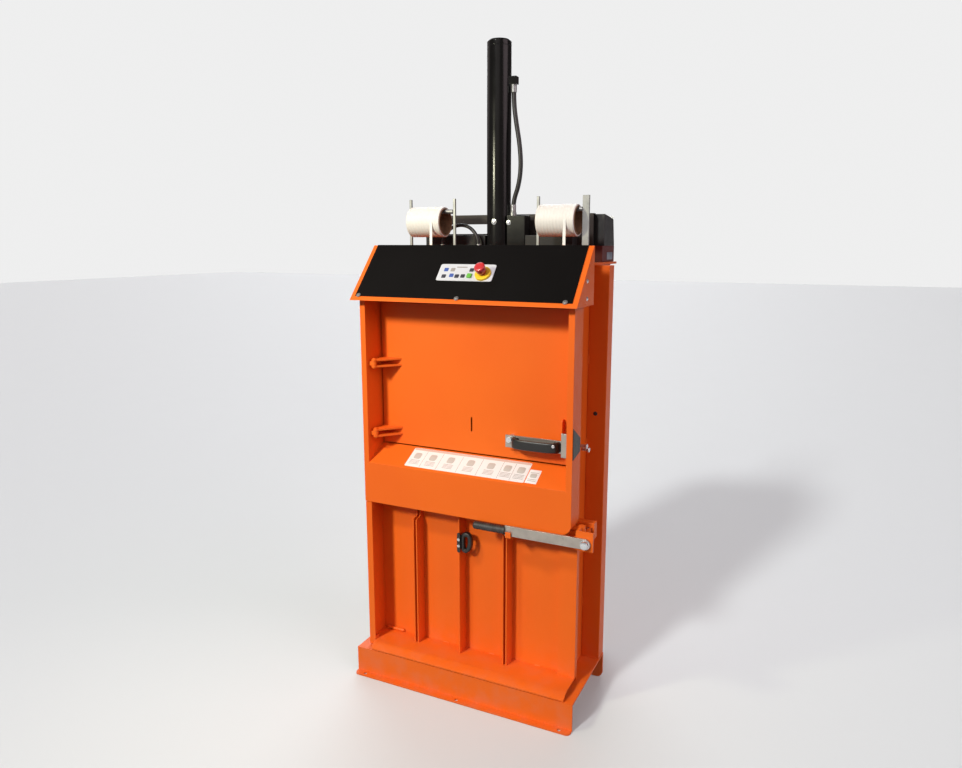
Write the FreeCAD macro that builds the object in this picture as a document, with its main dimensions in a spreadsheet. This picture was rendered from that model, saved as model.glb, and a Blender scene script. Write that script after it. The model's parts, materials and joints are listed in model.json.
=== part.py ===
import FreeCAD, Part
import math
import os
import re
import Sketcher

# A small upright recycling baler. +Z is up, the front faces -Y and Z = 0 is the floor. The finished
# frame's origin is the middle hole of the front foot flange. Sizes and formulas count Y from the front
# plane of the door jambs, and node() moves each sub-part back by the distance from the holes to that plane.
# Millimetres.

SIZES = {
    # body
    "body_width": 800, "body_depth": 515, "base_height": 100, "chamber_top": 1543,
    "base_overhang": 30, "base_plate_thick": 8, "skirt_reach": 36, "skirt_thick": 6,
    "foot_reach": 26, "foot_thick": 6, "foot_corner": 22, "foot_round": 16, "foot_hole_radius": 7,
    "foot_hole_inset": 41, "foot_plate_thick": 10, "wall_inset": 40, "wall_thick": 5, "sheet_thick": 4,
    "floor_thick": 20, "slot_rise": 40, "strap_groove_width": 20, "strap_groove_depth": 12,
    "roof_thick": 8,
    "column_width": 68, "column_depth": 56, "column_front": 270, "column_wall": 5,
    # loading opening
    "jamb_width": 21, "jamb_depth": 82, "jamb_rise": 26, "jamb_wall": 3, "door_recess": 100,
    "door_gap": 7,
    "shelf_low": 676, "shelf_front": 150, "shelf_rise": 53, "shelf_corner": 35,
    "door_low_gap": 5, "door_high_gap": 14, "door_slot_side": -7, "door_slot_low": 961,
    "door_slot_high": 1012, "door_slot_width": 5,
    "hinge_upper": 1191, "hinge_lower": 934, "hinge_plate_thick": 7, "hinge_plate_pitch": 23,
    "hinge_eye_radius": 10, "hinge_pin_radius": 6, "hinge_pin_inset": 17, "hinge_pin_front": 25,
    "hinge_plate_reach": 72, "running_gap": 0.05, "side_gap": 0.3,
    # loading door latch
    "latch_pivot_side": 152, "latch_pivot_high": 958, "latch_length": 190, "latch_height": 43,
    "latch_thick": 6, "latch_front": 64, "latch_stud_radius": 6, "bow_length": 170,
    "bow_height": 40, "bow_reach": 34, "bow_thick": 11, "catch_width": 36, "catch_height": 82,
    "catch_low": 921, "catch_front": 52, "cover_height": 105, "cover_low": 931,
    "cover_thick": 2, "cover_deep": 74, "cover_slope": 28,
    # bale door
    "tray_gap": 4, "tray_top_gap": 2, "tray_side": 2, "tray_top_depth": 30, "tray_lip": 25,
    "ledge_high": 20, "lip_corner": 15, "stile_width": 63,
    "stile_raise": 20, "rib_depth": 52, "rib_thick": 5, "rib_slot": 8, "rib_left": -219,
    "rib_middle": -36, "rib_right": 144, "rib_step": 28, "rib_step_low": 52,
    "bale_pin_radius": 8, "bale_pin_inset": 14, "bale_block": 24, "bale_block_high": 30,
    "pull_high": 78, "pull_reach": 46, "pull_thick": 22, "pull_middle": 558,
    # lock lever
    "lever_high": 665, "lever_bolt_out": 55, "lever_height": 35, "lever_thick": 8,
    "lever_length": 281, "hook_aside": 4, "hook_width": 20, "lever_front": -20, "lever_bolt_radius": 10,
    "grip_length": 120,
    "grip_radius": 13.5, "bracket_inner": 22, "bracket_outer": 24, "bracket_low": 26,
    "bracket_high": 38, "bracket_thick": 8, "bracket_arm": 34,
    "knuckle_radius": 12, "knuckle_place": 40, "striker_gap": 2,
    # press
    "press_rest": 1440, "press_thick": 12, "press_rib": 48, "press_gap": 7, "rod_radius": 22,
    "cylinder_radius": 43, "cylinder_bore": 35, "cylinder_top": 2310, "cylinder_place": 310,
    "cap_height": 22, "piston_height": 40, "piston_gap": 0.05,
    # hood and controls
    "hood_low": 1421, "hood_rise": 188, "hood_run": 164, "hood_reach": 37, "hood_overhang": 17,
    "hood_lip": 7, "panel_border": 18, "panel_thick": 3, "label_left": -104, "label_right": 104,
    "label_low": 92, "label_height": 72, "label_thick": 1.5, "stop_side": 66, "stop_along": 122,
    "collar_radius": 28, "collar_height": 8, "stop_radius": 19, "stop_stem_radius": 9,
    "stop_travel": 6, "stop_cap": 28, "key_side": 18, "key_along": 113, "key_radius": 9,
    "key_height": 5,
    # top of the machine
    "arm_width": 50, "arm_length": 290, "arm_high": 94, "screen_front": 357, "screen_top": 1720,
    "screen_left": 330, "screen_right": 340, "screen_thick": 5, "screen_bar": 34,
    "window_low": 100, "window_left": 300, "window_right": 50, "housing_high": 57,
    "housing_side": 372, "cover_left": 120, "cover_rise": 110, "cover_fall": 14,
    "tank_left": -290, "tank_right": 60, "tank_high": 30, "tank_gap": 12, "motor_radius": 42,
    "motor_length": 180, "motor_side": 150, "block_left": 43, "block_right": 112,
    "block_depth": 54, "block_top": 1713, "port_high": 2160, "port_size": 26,
    # strap rolls
    "roll_place": 190, "roll_high": 1691, "roll_radius": 53, "roll_core": 44, "roll_length": 132,
    "left_roll": -221, "right_roll": 274, "roll_rod_radius": 8, "post_top": 1771,
    "post_width": 9, "post_thick": 8, "wide_post": 23, "roll_end_gap": 4, "left_post_out": 33,
    "right_post_out": 15,
    "tail_width": 10, "tail_thick": 1, "tail_length": 130,
}

doc = FreeCAD.newDocument("RecyclingBaler")
sheet = doc.addObject("Spreadsheet::Sheet", "Sizes")
for row, (word, value) in enumerate(SIZES.items(), start=1):
    sheet.set(f"A{row}", word)
    sheet.set(f"B{row}", str(value))
    sheet.setAlias(f"B{row}", word)
doc.recompute()

WORDS = re.compile(r"\b(" + "|".join(sorted(SIZES, key=len, reverse=True)) + r")\b")
NODES = {}

# Places that several pieces share, as formulas of the sizes.
HALF = "(body_width / 2)"
WALL_OUT = f"({HALF} - wall_inset)"
WALL_IN = f"({WALL_OUT} - wall_thick)"
JAMB_IN = f"({HALF} - jamb_width)"
BASE_OUT = f"({HALF} + base_overhang)"
HOOD_OUT = f"({HALF} + hood_overhang)"
FLOOR_TOP = "(base_height + floor_thick)"
ROOF_TOP = "(chamber_top + roof_thick)"
SHELF_HIGH = "(shelf_low + shelf_front)"
SHELF_BACK = f"({SHELF_HIGH} + shelf_rise)"
COLLAR = "(door_recess + sheet_thick)"
CHAMBER_FRONT = f"({COLLAR} + 2 * sheet_thick)"
COLUMN_BACK = "(column_front + column_depth)"
HOLE_LINE = "(skirt_reach + foot_reach / 2)"
DOOR_SIDE = f"({JAMB_IN} - door_gap)"
DOOR_LOW = f"({SHELF_BACK} + door_low_gap)"
DOOR_HIGH = "(hood_low - door_high_gap)"
HINGE_X = f"(-({JAMB_IN}) + hinge_pin_inset)"
TRAY_OUT = f"({HALF} - tray_side)"
TRAY_LOW = "(base_height + tray_gap)"
TRAY_HIGH = "(shelf_low - tray_top_gap)"
TRAY_BACK = "(door_recess + sheet_thick)"
BALE_X = f"(-({HALF}) + bale_pin_inset)"
LEVER_X = f"({HALF} + lever_bolt_out)"
SCREEN_BACK = "(screen_front + screen_thick)"
HOUSING_FRONT = f"({SCREEN_BACK} + sheet_thick)"
HOUSING_TOP = f"({ROOF_TOP} + housing_high)"
SLOPE = "sqrt(hood_run ^ 2 + hood_rise ^ 2)"
SLOPE_ANGLE = "atan(hood_rise / hood_run)"


def bound(formula):
    """A formula with each size's name pointed at its cell."""
    return WORDS.sub(r"Sizes.\1", formula)


def bind(item, prop, formula):
    item.setExpression(prop, bound(str(formula)))


def less(a, b):
    return f"(({a}) - ({b}))"


def more(a, b):
    return f"(({a}) + ({b}))"


def box(name, x, y, z):
    """A block between two formulas on each axis."""
    item = doc.addObject("Part::Box", name)
    for side, letter, (low, high) in zip(("Length", "Width", "Height"), "xyz", (x, y, z)):
        bind(item, side, less(high, low))
        bind(item, f"Placement.Base.{letter}", low)
    return item


TURNS = {"z": (FreeCAD.Vector(0, 0, 1), 0), "x": (FreeCAD.Vector(0, 1, 0), 90),
         "y": (FreeCAD.Vector(1, 0, 0), -90)}


def rod(name, axis, radius, place, low, high):
    """A round bar along an axis. place gives the two other coordinates, in x, y, z order."""
    item = doc.addObject("Part::Cylinder", name)
    item.Placement = FreeCAD.Placement(FreeCAD.Vector(), FreeCAD.Rotation(*TURNS[axis]))
    bind(item, "Radius", radius)
    bind(item, "Height", less(high, low))
    for letter, formula in zip([c for c in "xyz" if c != axis], place):
        bind(item, f"Placement.Base.{letter}", formula)
    bind(item, f"Placement.Base.{axis}", low)
    return item


def profile(name, role, points, low, high):
    """A PartDesign body: a closed outline on an origin plane, padded from low to high."""
    body = doc.addObject("PartDesign::Body", name)
    plane = [f for f in body.Origin.OriginFeatures if f.Role == role][0]
    sketch = body.newObject("Sketcher::SketchObject", f"{name}_outline")
    sketch.AttachmentSupport = [(plane, "")]
    sketch.MapMode = "FlatFace"
    count = len(points)
    rough = [FreeCAD.Vector(i, i * i, 0) for i in range(count)]
    for i in range(count):
        sketch.addGeometry(Part.LineSegment(rough[i], rough[(i + 1) % count]))
    for i in range(count):
        sketch.addConstraint(Sketcher.Constraint("Coincident", i, 2, (i + 1) % count, 1))
    for i, point in enumerate(points):
        for kind, formula, start in zip(("DistanceX", "DistanceY"), point, rough[i]):
            index = sketch.addConstraint(Sketcher.Constraint(kind, -1, 1, i, 1, start))
            bind(sketch, f"Constraints[{index}]", formula)
    backwards = role == "XZ_Plane"
    bind(sketch, "AttachmentOffset.Base.z", f"-({high})" if backwards else low)
    pad = body.newObject("PartDesign::Pad", f"{name}_pad")
    pad.Profile = sketch
    bind(pad, "Length", less(high, low))
    return body


def fuse(name, *items):
    item = doc.addObject("Part::MultiFuse", name)
    item.Shapes = list(items)
    item.Refine = True
    return item


def group(name, *items):
    """Separate solids of one kind, kept as one item."""
    item = doc.addObject("Part::Compound", name)
    item.Links = list(items)
    return item


def cut(name, item, *tools):
    result = doc.addObject("Part::Cut", name)
    result.Base = item
    result.Tool = tools[0] if len(tools) == 1 else fuse(f"{name}_tools", *tools)
    result.Refine = True
    return result


def node(label, item):
    """Names a sub-part and moves it back, so that Y = 0 is the line of the floor holes."""
    places = {path.lstrip("."): formula for path, formula in item.ExpressionEngine}
    place = places.get("Placement.Base.y", "0")
    item.setExpression("Placement.Base.y", f"{place} + {bound(HOLE_LINE)}")
    item.Label = label
    NODES[label] = item
    return item


def round_corner(name, outer, low, radius, y, way):
    """The waste outside a round lower corner at x = way * outer, through y."""
    inner = f"({outer} - {radius})"
    span = (inner, more(outer, 1)) if way > 0 else (f"(-({outer}) - 1)", f"(-{inner})")
    block = box(f"{name}_block", span, y, (less(low, 1), more(low, radius)))
    wide = (less(y[0], 1), more(y[1], 1))
    bar = rod(f"{name}_bar", "y", radius, (f"({way} * {inner})", more(low, radius)), *wide)
    return cut(name, block, bar)


def both_sides(make):
    """Calls make with the side's name and its sign, for the left and the right."""
    for side, way in (("left", -1), ("right", 1)):
        make(side, way)


def span(way, inner, outer):
    """The x range between two distances from the middle, on one side."""
    return (inner, outer) if way > 0 else (f"(-({outer}))", f"(-({inner}))")


# ---------------------------------------------------------------- base


def base():
    skirt = box("skirt", (f"(-{BASE_OUT})", BASE_OUT), ("-skirt_reach", "-skirt_reach + skirt_thick"),
                (0, "base_height"))
    foot = box("skirt_foot", (f"(-{BASE_OUT})", BASE_OUT),
               ("-skirt_reach - foot_reach", "-skirt_reach"), (0, "foot_thick"))
    holes = [rod(f"foot_hole_{i}", "z", "foot_hole_radius",
                 (f"{way} * ({BASE_OUT} - foot_hole_inset)", f"-{HOLE_LINE}"),
                 -1, "foot_thick + 1") for i, way in enumerate((-1, 0, 1))]
    toe = "(-skirt_reach - foot_reach)"
    corners = []
    for side, way in (("left", -1), ("right", 1)):
        block = box(f"foot_corner_{side}", span(way, f"{BASE_OUT} - foot_round", f"{BASE_OUT} + 1"),
                    (f"{toe} - 1", f"{toe} + foot_round"), (-1, "foot_thick + 1"))
        bar = rod(f"foot_corner_bar_{side}", "z", "foot_round",
                  (f"{way} * ({BASE_OUT} - foot_round)", f"{toe} + foot_round"), -2, "foot_thick + 2")
        corners.append(cut(f"foot_corner_waste_{side}", block, bar))
    node("base_front", cut("base_front", fuse("skirt_whole", skirt, foot), *holes, *corners))

    plate = profile("base_plate", "XY_Plane", [
        (f"-{BASE_OUT}", "-skirt_reach + skirt_thick"), (BASE_OUT, "-skirt_reach + skirt_thick"),
        (BASE_OUT, COLUMN_BACK), (WALL_OUT, COLUMN_BACK), (WALL_OUT, "body_depth"),
        (f"-{WALL_OUT}", "body_depth"), (f"-{WALL_OUT}", COLUMN_BACK), (f"-{BASE_OUT}", COLUMN_BACK),
    ], "base_height - base_plate_thick", "base_height")
    node("base_plate", plate)

    high = "base_height - base_plate_thick"
    middle_y = (f"{COLUMN_BACK} - foot_plate_thick", COLUMN_BACK)
    middle = box("foot_middle", (f"(-{BASE_OUT})", BASE_OUT), middle_y, (0, high))
    wide = (less(middle_y[0], 1), more(middle_y[1], 1))
    waste = [round_corner(f"foot_round_{i}", BASE_OUT, 0, "foot_corner", wide, way)
             for i, way in enumerate((-1, 1))]
    rear = box("foot_rear", (f"(-{WALL_OUT})", WALL_OUT), ("body_depth - foot_plate_thick", "body_depth"),
               (0, high))
    node("foot_plates", group("foot_plates", cut("foot_middle_cut", middle, *waste), rear))


# ---------------------------------------------------------------- chamber


def chamber():
    def wall(side, way):
        sheet_wall = box(f"wall_{side}", span(way, WALL_IN, WALL_OUT),
                         (f"{COLLAR} + sheet_thick", "body_depth"),
                         ("base_height", "chamber_top"))
        door_room = box(f"wall_room_{side}", span(way, less(WALL_IN, 1), more(WALL_OUT, 1)),
                        ("door_recess", CHAMBER_FRONT), ("base_height - 1", "shelf_low"))
        collar = box(f"wall_collar_{side}", span(way, WALL_IN, f"{JAMB_IN} + sheet_thick"),
                     (COLLAR, f"{COLLAR} + sheet_thick"), ("shelf_low", "chamber_top"))
        trimmed = cut(f"wall_trimmed_{side}", sheet_wall, door_room)
        node(f"chamber_side_{side}", fuse(f"chamber_side_{side}", trimmed, collar))

    both_sides(wall)

    grooves = [f"rib_{word} - strap_groove_width / 2" for word in ("left", "middle", "right")]
    rear = box("rear_sheet", (f"(-{WALL_IN})", WALL_IN), ("body_depth - wall_thick", "body_depth"),
               ("base_height", "chamber_top"))
    slots = [box(f"rear_slot_{i}", (low, more(low, "strap_groove_width")),
                 ("body_depth - wall_thick - 1", "body_depth + 1"),
                 (f"{FLOOR_TOP} + slot_rise", "shelf_low")) for i, low in enumerate(grooves)]
    node("chamber_rear", cut("chamber_rear", rear, *slots))

    floor = box("floor_block", (f"(-{WALL_IN})", WALL_IN), (CHAMBER_FRONT, "body_depth - wall_thick"),
                ("base_height", FLOOR_TOP))
    channels = [box(f"floor_groove_{i}", (low, more(low, "strap_groove_width")),
                    ("door_recess", "body_depth"),
                    (f"{FLOOR_TOP} - strap_groove_depth",
                     f"{FLOOR_TOP} + 1")) for i, low in enumerate(grooves)]
    node("chamber_floor", cut("chamber_floor", floor, *channels))

    roof = box("roof_sheet", (f"(-{JAMB_IN} - sheet_thick)", f"{JAMB_IN} + sheet_thick"),
               ("jamb_depth", "body_depth"),
               ("chamber_top", ROOF_TOP))
    bore = rod("roof_bore", "z", "rod_radius + 2", (0, "cylinder_place"), "chamber_top - 1",
               f"{ROOF_TOP} + 1")
    node("chamber_roof", cut("chamber_roof", roof, bore))


def columns():
    def column(side, way):
        y = ("column_front", COLUMN_BACK)
        outer = box(f"column_skin_{side}", span(way, WALL_OUT, f"{WALL_OUT} + column_width"), y,
                    ("base_height", "chamber_top"))
        inner = box(f"column_hollow_{side}",
                    span(way, f"{WALL_OUT} + column_wall", f"{WALL_OUT} + column_width - column_wall"),
                    ("column_front + column_wall", f"{COLUMN_BACK} - column_wall"),
                    ("base_height - 1", "chamber_top - column_wall"))
        node(f"column_{side}", cut(f"column_{side}", outer, inner))

    both_sides(column)


def jambs():
    def jamb(side, way):
        z = ("shelf_low", "hood_low + jamb_rise")
        outer = box(f"jamb_skin_{side}", span(way, JAMB_IN, HALF), (0, "jamb_depth"), z)
        inner = box(f"jamb_hollow_{side}", span(way, f"{JAMB_IN} + jamb_wall", f"{HALF} - jamb_wall"),
                    ("jamb_wall", "jamb_depth - jamb_wall"),
                    ("shelf_low - 1", "hood_low + jamb_rise + 1"))
        notch = box(f"jamb_notch_{side}", span(way, f"{JAMB_IN} - 1", f"{HALF} + 1"), (-1, "sheet_thick"),
                    ("shelf_low - 1", SHELF_HIGH))
        leaf = box(f"jamb_leaf_{side}", span(way, JAMB_IN, f"{JAMB_IN} + sheet_thick"),
                   ("jamb_depth - 1", COLLAR), z)
        tube = cut(f"jamb_tube_{side}", outer, inner)
        whole = fuse(f"jamb_whole_{side}", tube, leaf)
        waste = [notch]
        if side == "right":
            waste.append(round_corner("jamb_round", HALF, "shelf_low", "shelf_corner",
                                      (-2, "jamb_depth + 2"), way))
        node(f"jamb_{side}", cut(f"jamb_{side}", whole, *waste))

    both_sides(jamb)


def shelf():
    skin = box("shelf_skin", (f"(-{HALF})", HALF), (0, "sheet_thick"), ("shelf_low", SHELF_HIGH))
    beam = profile("shelf_beam_body", "YZ_Plane", [
        ("sheet_thick / 2", "shelf_low"), ("sheet_thick / 2", SHELF_HIGH), (0, SHELF_HIGH),
        ("door_recess", SHELF_BACK), ("door_recess", "shelf_low"),
    ], f"-{JAMB_IN}", JAMB_IN)
    hollow = profile("shelf_hollow", "YZ_Plane", [
        ("sheet_thick", "shelf_low + sheet_thick"), ("sheet_thick", f"{SHELF_HIGH} - 2 * sheet_thick"),
        ("door_recess - sheet_thick", f"{SHELF_BACK} - 2.4 * sheet_thick"),
        ("door_recess - sheet_thick", "shelf_low + sheet_thick"),
    ], f"-{JAMB_IN} - 1", f"{JAMB_IN} + 1")
    whole = cut("shelf_ring", fuse("shelf_whole", skin, beam), hollow)
    waste = round_corner("shelf_round", HALF, "shelf_low", "shelf_corner", (-1, "door_recess + 1"), 1)
    node("shelf_beam", cut("shelf_beam", whole, waste))


# ---------------------------------------------------------------- hood and controls


def on_slope(item, x, along, out):
    """Sets an item on the hood's slope: x, the way up it and the height over it."""
    item.Placement = FreeCAD.Placement(FreeCAD.Vector(), FreeCAD.Rotation(FreeCAD.Vector(1, 0, 0), 45))
    bind(item, "Placement.Rotation.Angle", SLOPE_ANGLE)
    bind(item, "Placement.Base.x", x)
    bind(item, "Placement.Base.y",
         f"-hood_reach + (({along}) * hood_run - ({out}) * hood_rise) / {SLOPE}")
    bind(item, "Placement.Base.z",
         f"hood_low + (({along}) * hood_rise + ({out}) * hood_run) / {SLOPE}")
    return item


def slope_box(name, x, along, out):
    item = doc.addObject("Part::Box", name)
    for side, (low, high) in zip(("Length", "Width", "Height"), (x, along, out)):
        bind(item, side, less(high, low))
    return on_slope(item, x[0], along[0], out[0])


def slope_rod(name, radius, x, along, low, high):
    item = doc.addObject("Part::Cylinder", name)
    bind(item, "Radius", radius)
    bind(item, "Height", less(high, low))
    return on_slope(item, x, along, low)


def hood():
    front = "-hood_reach"
    top_y = "(hood_run - hood_reach)"
    top_z = "(hood_low + hood_rise)"
    whole = profile("hood_skin", "YZ_Plane", [
        (front, "hood_low"), (top_y, top_z), (f"{top_y} + hood_lip", top_z), (f"{top_y} + hood_lip",
                                                                              "hood_low"),
    ], f"-{HOOD_OUT}", HOOD_OUT)
    hollow = profile("hood_hollow", "YZ_Plane", [
        (f"{front} + sheet_thick * 1.5", "hood_low + sheet_thick"),
        (f"{top_y} + sheet_thick * 0.5", f"{top_z} - sheet_thick"),
        (f"{top_y} + hood_lip + 1", f"{top_z} - sheet_thick"),
        (f"{top_y} + hood_lip + 1", "hood_low + sheet_thick"),
    ], f"-{HOOD_OUT} + sheet_thick", f"{HOOD_OUT} - sheet_thick")
    door_side = box("hood_under", (f"(-{HOOD_OUT} + sheet_thick)", f"{HOOD_OUT} - sheet_thick"),
                    (0, "hood_run"), ("hood_low - 1", "hood_low + 2 * sheet_thick"))
    node("hood_shell", cut("hood_shell", whole, hollow, door_side))

    edge = f"({HOOD_OUT} - panel_border)"
    node("console_panel", slope_box("console_panel", (f"(-{edge})", edge), ("panel_border", SLOPE),
                                    (0, "panel_thick")))
    node("control_label", slope_box("control_label", ("label_left", "label_right"),
                                    ("label_low", "label_low + label_height"), ("panel_thick", FACE)))


FACE = "(panel_thick + label_thick)"


def controls():
    ring = slope_rod("collar_disc", "collar_radius", "stop_side", "stop_along", FACE,
                     f"{FACE} + collar_height")
    hole = slope_rod("collar_hole", "stop_stem_radius + side_gap", "stop_side", "stop_along",
                     f"{FACE} - 1",
                     f"{FACE} + collar_height + 1")
    node("stop_collar", cut("stop_collar", ring, hole))

    lift = f"{FACE} + stop_travel + 0.5"
    stem = slope_rod("stop_stem", "stop_stem_radius", "stop_side", "stop_along", lift,
                     f"{lift} + collar_height + 1")
    cap = slope_rod("stop_cap", "stop_radius", "stop_side", "stop_along", f"{lift} + collar_height",
                    f"{lift} + collar_height + stop_cap")
    node("stop_button", fuse("stop_button", stem, cap))
    node("start_key", slope_rod("start_key", "key_radius", "key_side", "key_along", f"{FACE} + 0.8",
                                f"{FACE} + 0.8 + key_height"))


# ---------------------------------------------------------------- loading door


def hinge_pairs():
    """Each pair of door plates round its knuckle: the plates belong to the door, the knuckle to the jamb."""
    for word in ("upper", "lower"):
        place = (HINGE_X, "hinge_pin_front")
        plates = []
        for way in (-1, 1):
            middle = f"(hinge_{word} + {way} * hinge_plate_pitch / 2)"
            z = (f"({middle} - hinge_plate_thick / 2)", f"({middle} + hinge_plate_thick / 2)")
            arm = profile(f"hinge_arm_{word}_{way + 1}", "XY_Plane", [
                (f"{HINGE_X} - hinge_eye_radius + 1", "hinge_pin_front"),
                (f"{HINGE_X} + hinge_eye_radius", "hinge_pin_front"),
                (f"{HINGE_X} + hinge_plate_reach", "door_recess - sheet_thick"),
                (f"{HINGE_X} - hinge_eye_radius + 4", "door_recess - sheet_thick"),
            ], *z)
            eye = rod(f"hinge_eye_{word}_{way + 1}", "z", "hinge_eye_radius", place, *z)
            bore = rod(f"hinge_bore_{word}_{way + 1}", "z", "hinge_pin_radius + running_gap", place,
                       f"{z[0]} - 1", f"{z[1]} + 1")
            plates.append(cut(f"hinge_plate_{word}_{way + 1}",
                              fuse(f"hinge_leaf_{word}_{way + 1}", arm, eye), bore))
        node(f"door_hinge_{word}", group(f"door_hinge_{word}", *plates))

        room = "(hinge_plate_pitch / 2 - hinge_plate_thick / 2 - side_gap)"
        block_z = (f"hinge_{word} - {room}", f"hinge_{word} + {room}")
        block = box(f"knuckle_block_{word}", (f"(-{JAMB_IN})", HINGE_X),
                    ("hinge_pin_front - hinge_eye_radius + 1",
                     "hinge_pin_front + hinge_eye_radius - 1"), block_z)
        barrel = rod(f"knuckle_barrel_{word}", "z", "hinge_eye_radius - 1", place, *block_z)
        reach = "(hinge_plate_pitch / 2 + hinge_plate_thick / 2 + 4)"
        pin = rod(f"knuckle_pin_{word}", "z", "hinge_pin_radius", place, f"hinge_{word} - {reach}",
                  f"hinge_{word} + {reach}")
        node(f"door_knuckle_{word}", fuse(f"door_knuckle_{word}", block, barrel, pin))


def loading_door():
    y = ("door_recess - sheet_thick", "door_recess")
    panel = box("door_sheet", (f"(-{DOOR_SIDE})", DOOR_SIDE), y, (DOOR_LOW, DOOR_HIGH))
    slot = box("door_slot", ("door_slot_side - door_slot_width / 2", "door_slot_side + door_slot_width / 2"),
               ("door_recess - sheet_thick - 1", "door_recess + 1"), ("door_slot_low", "door_slot_high"))
    node("loading_door_panel", cut("loading_door_panel", panel, slot))

    pivot = ("latch_pivot_side", "latch_pivot_high")
    stud = rod("latch_stud_shank", "y", "latch_stud_radius", pivot, "latch_front - 5",
               "door_recess - sheet_thick")
    boss = rod("latch_stud_boss", "y", "latch_stud_radius + 7", pivot,
               "latch_front + latch_thick + side_gap",
               "door_recess - sheet_thick")
    head = rod("latch_stud_head", "y", "latch_stud_radius + 4", pivot, "latch_front - 6",
               "latch_front - side_gap")
    node("latch_stud", fuse("latch_stud", stud, boss, head))


def latch():
    y = ("latch_front", "latch_front + latch_thick")
    low = "(latch_pivot_high - latch_height / 2 - 6)"
    bar = box("latch_plate", ("latch_pivot_side - 14", "latch_pivot_side + latch_length"), y,
              (low, f"{low} + latch_height"))
    bore = rod("latch_bore", "y", "latch_stud_radius + running_gap",
               ("latch_pivot_side", "latch_pivot_high"),
               "latch_front - 1", "latch_front + latch_thick + 1")
    node("latch_bar", cut("latch_bar", bar, bore))

    left = "(latch_pivot_side + latch_length - bow_length - 6)"
    right = "(latch_pivot_side + latch_length - 6)"
    middle = f"({low} + latch_height / 2)"
    z = (f"{middle} - bow_height / 2", f"{middle} + bow_height / 2")
    bow = profile("bow_outer", "XY_Plane", [
        (left, "latch_front"), (f"{left} + 14", "latch_front - bow_reach"),
        (f"{right} - 30", "latch_front - bow_reach"), (right, "latch_front"),
    ], *z)
    gap = profile("bow_gap", "XY_Plane", [
        (f"{left} + bow_thick * 1.5", "latch_front + 1"), (f"{left} + bow_thick * 1.5 + 10",
                                                           "latch_front - bow_reach + bow_thick"),
        (f"{right} - 38", "latch_front - bow_reach + bow_thick"), (f"{right} - 18", "latch_front + 1"),
    ], f"{z[0]} - 1", f"{z[1]} + 1")
    node("latch_grip", cut("latch_grip", bow, gap))


def catch():
    """The zinc catch leaf on the right jamb, and the cover on the jamb's outer side."""
    z = ("catch_low", "catch_low + catch_height")
    front = box("catch_front_leaf", (f"{JAMB_IN} - catch_width", JAMB_IN),
                ("catch_front", "catch_front + sheet_thick"), z)
    side = box("catch_side_leaf", (f"{JAMB_IN} - 3", JAMB_IN), ("catch_front", "catch_front + 26"), z)
    node("catch_plate", fuse("catch_plate", front, side))

    cover = profile("jamb_cover", "YZ_Plane", [
        (3, "cover_low"), (3, "cover_low + cover_height"),
        ("cover_deep", "cover_low + cover_height - cover_slope * 1.6"),
        ("cover_deep", "cover_low + cover_slope * 0.5"),
    ], HALF, f"{HALF} + cover_thick")
    node("jamb_cover", cover)


# ---------------------------------------------------------------- bale door


def tray():
    back = box("tray_panel", (f"(-{TRAY_OUT})", TRAY_OUT), ("door_recess", TRAY_BACK),
               (TRAY_LOW, TRAY_HIGH))
    left = box("tray_flange", (f"(-{TRAY_OUT})", f"(-{TRAY_OUT} + sheet_thick)"), (0, TRAY_BACK),
               (TRAY_LOW, TRAY_HIGH))
    lip = box("tray_lip_strip", (f"(-{TRAY_OUT})", f"(-{TRAY_OUT} + tray_lip)"), (0, "sheet_thick"),
              (TRAY_LOW, TRAY_HIGH))
    ledge_top = f"({TRAY_LOW} + ledge_high)"
    ledge = box("tray_ledge", (f"(-{TRAY_OUT})", TRAY_OUT), (0, TRAY_BACK),
                (f"{ledge_top} - sheet_thick", ledge_top))
    fold = profile("tray_fold", "YZ_Plane", [
        ("-skirt_reach", TRAY_LOW), ("-skirt_reach", f"{TRAY_LOW} + sheet_thick"), (0, ledge_top),
        ("sheet_thick", ledge_top), ("sheet_thick", f"{ledge_top} - sheet_thick"),
        (1, f"{ledge_top} - sheet_thick"),
    ], f"(-{TRAY_OUT} + tray_lip)", TRAY_OUT)
    fold_waste = round_corner("tray_fold_round", f"({TRAY_OUT} - tray_lip)", TRAY_LOW, "lip_corner",
                              ("-skirt_reach - 1", 0), -1)
    stile = box("tray_stile", (f"{TRAY_OUT} - stile_width", TRAY_OUT),
                ("door_recess - stile_raise", "door_recess + 1"),
                (f"{ledge_top} - 1", TRAY_HIGH))
    top = box("tray_top", (f"(-{TRAY_OUT})", TRAY_OUT), ("door_recess - tray_top_depth", TRAY_BACK),
              (f"{TRAY_HIGH} - sheet_thick", TRAY_HIGH))
    blocks = []
    bores = []
    for word, low in (("low", TRAY_LOW), ("top", f"({TRAY_HIGH} - bale_block_high)")):
        x = (f"(-{TRAY_OUT} + 1)", f"(-{TRAY_OUT} + 1 + bale_block)")
        blocks.append(box(f"bale_block_{word}", x, (1, "1 + bale_block"),
                          (low, f"{low} + bale_block_high")))
        bores.append(rod(f"bale_bore_{word}", "z", "bale_pin_radius + running_gap",
                         (BALE_X, "bale_pin_inset"),
                         f"{low} - 1", f"{low} + bale_block_high + 1"))
    folded = cut("tray_fold_cut", fold, fold_waste)
    whole = fuse("tray_whole", back, left, lip, ledge, folded, stile, top, *blocks)
    node("bale_door_tray", cut("bale_door_tray", whole, *bores))

    pins = [rod("bale_pin_low", "z", "bale_pin_radius", (BALE_X, "bale_pin_inset"), "base_height",
                f"{TRAY_LOW} + bale_block_high - 4"),
            rod("bale_pin_top", "z", "bale_pin_radius", (BALE_X, "bale_pin_inset"),
                f"{TRAY_HIGH} - bale_block_high + 4", "shelf_low")]
    node("bale_hinge_pins", group("bale_hinge_pins", *pins))


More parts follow.
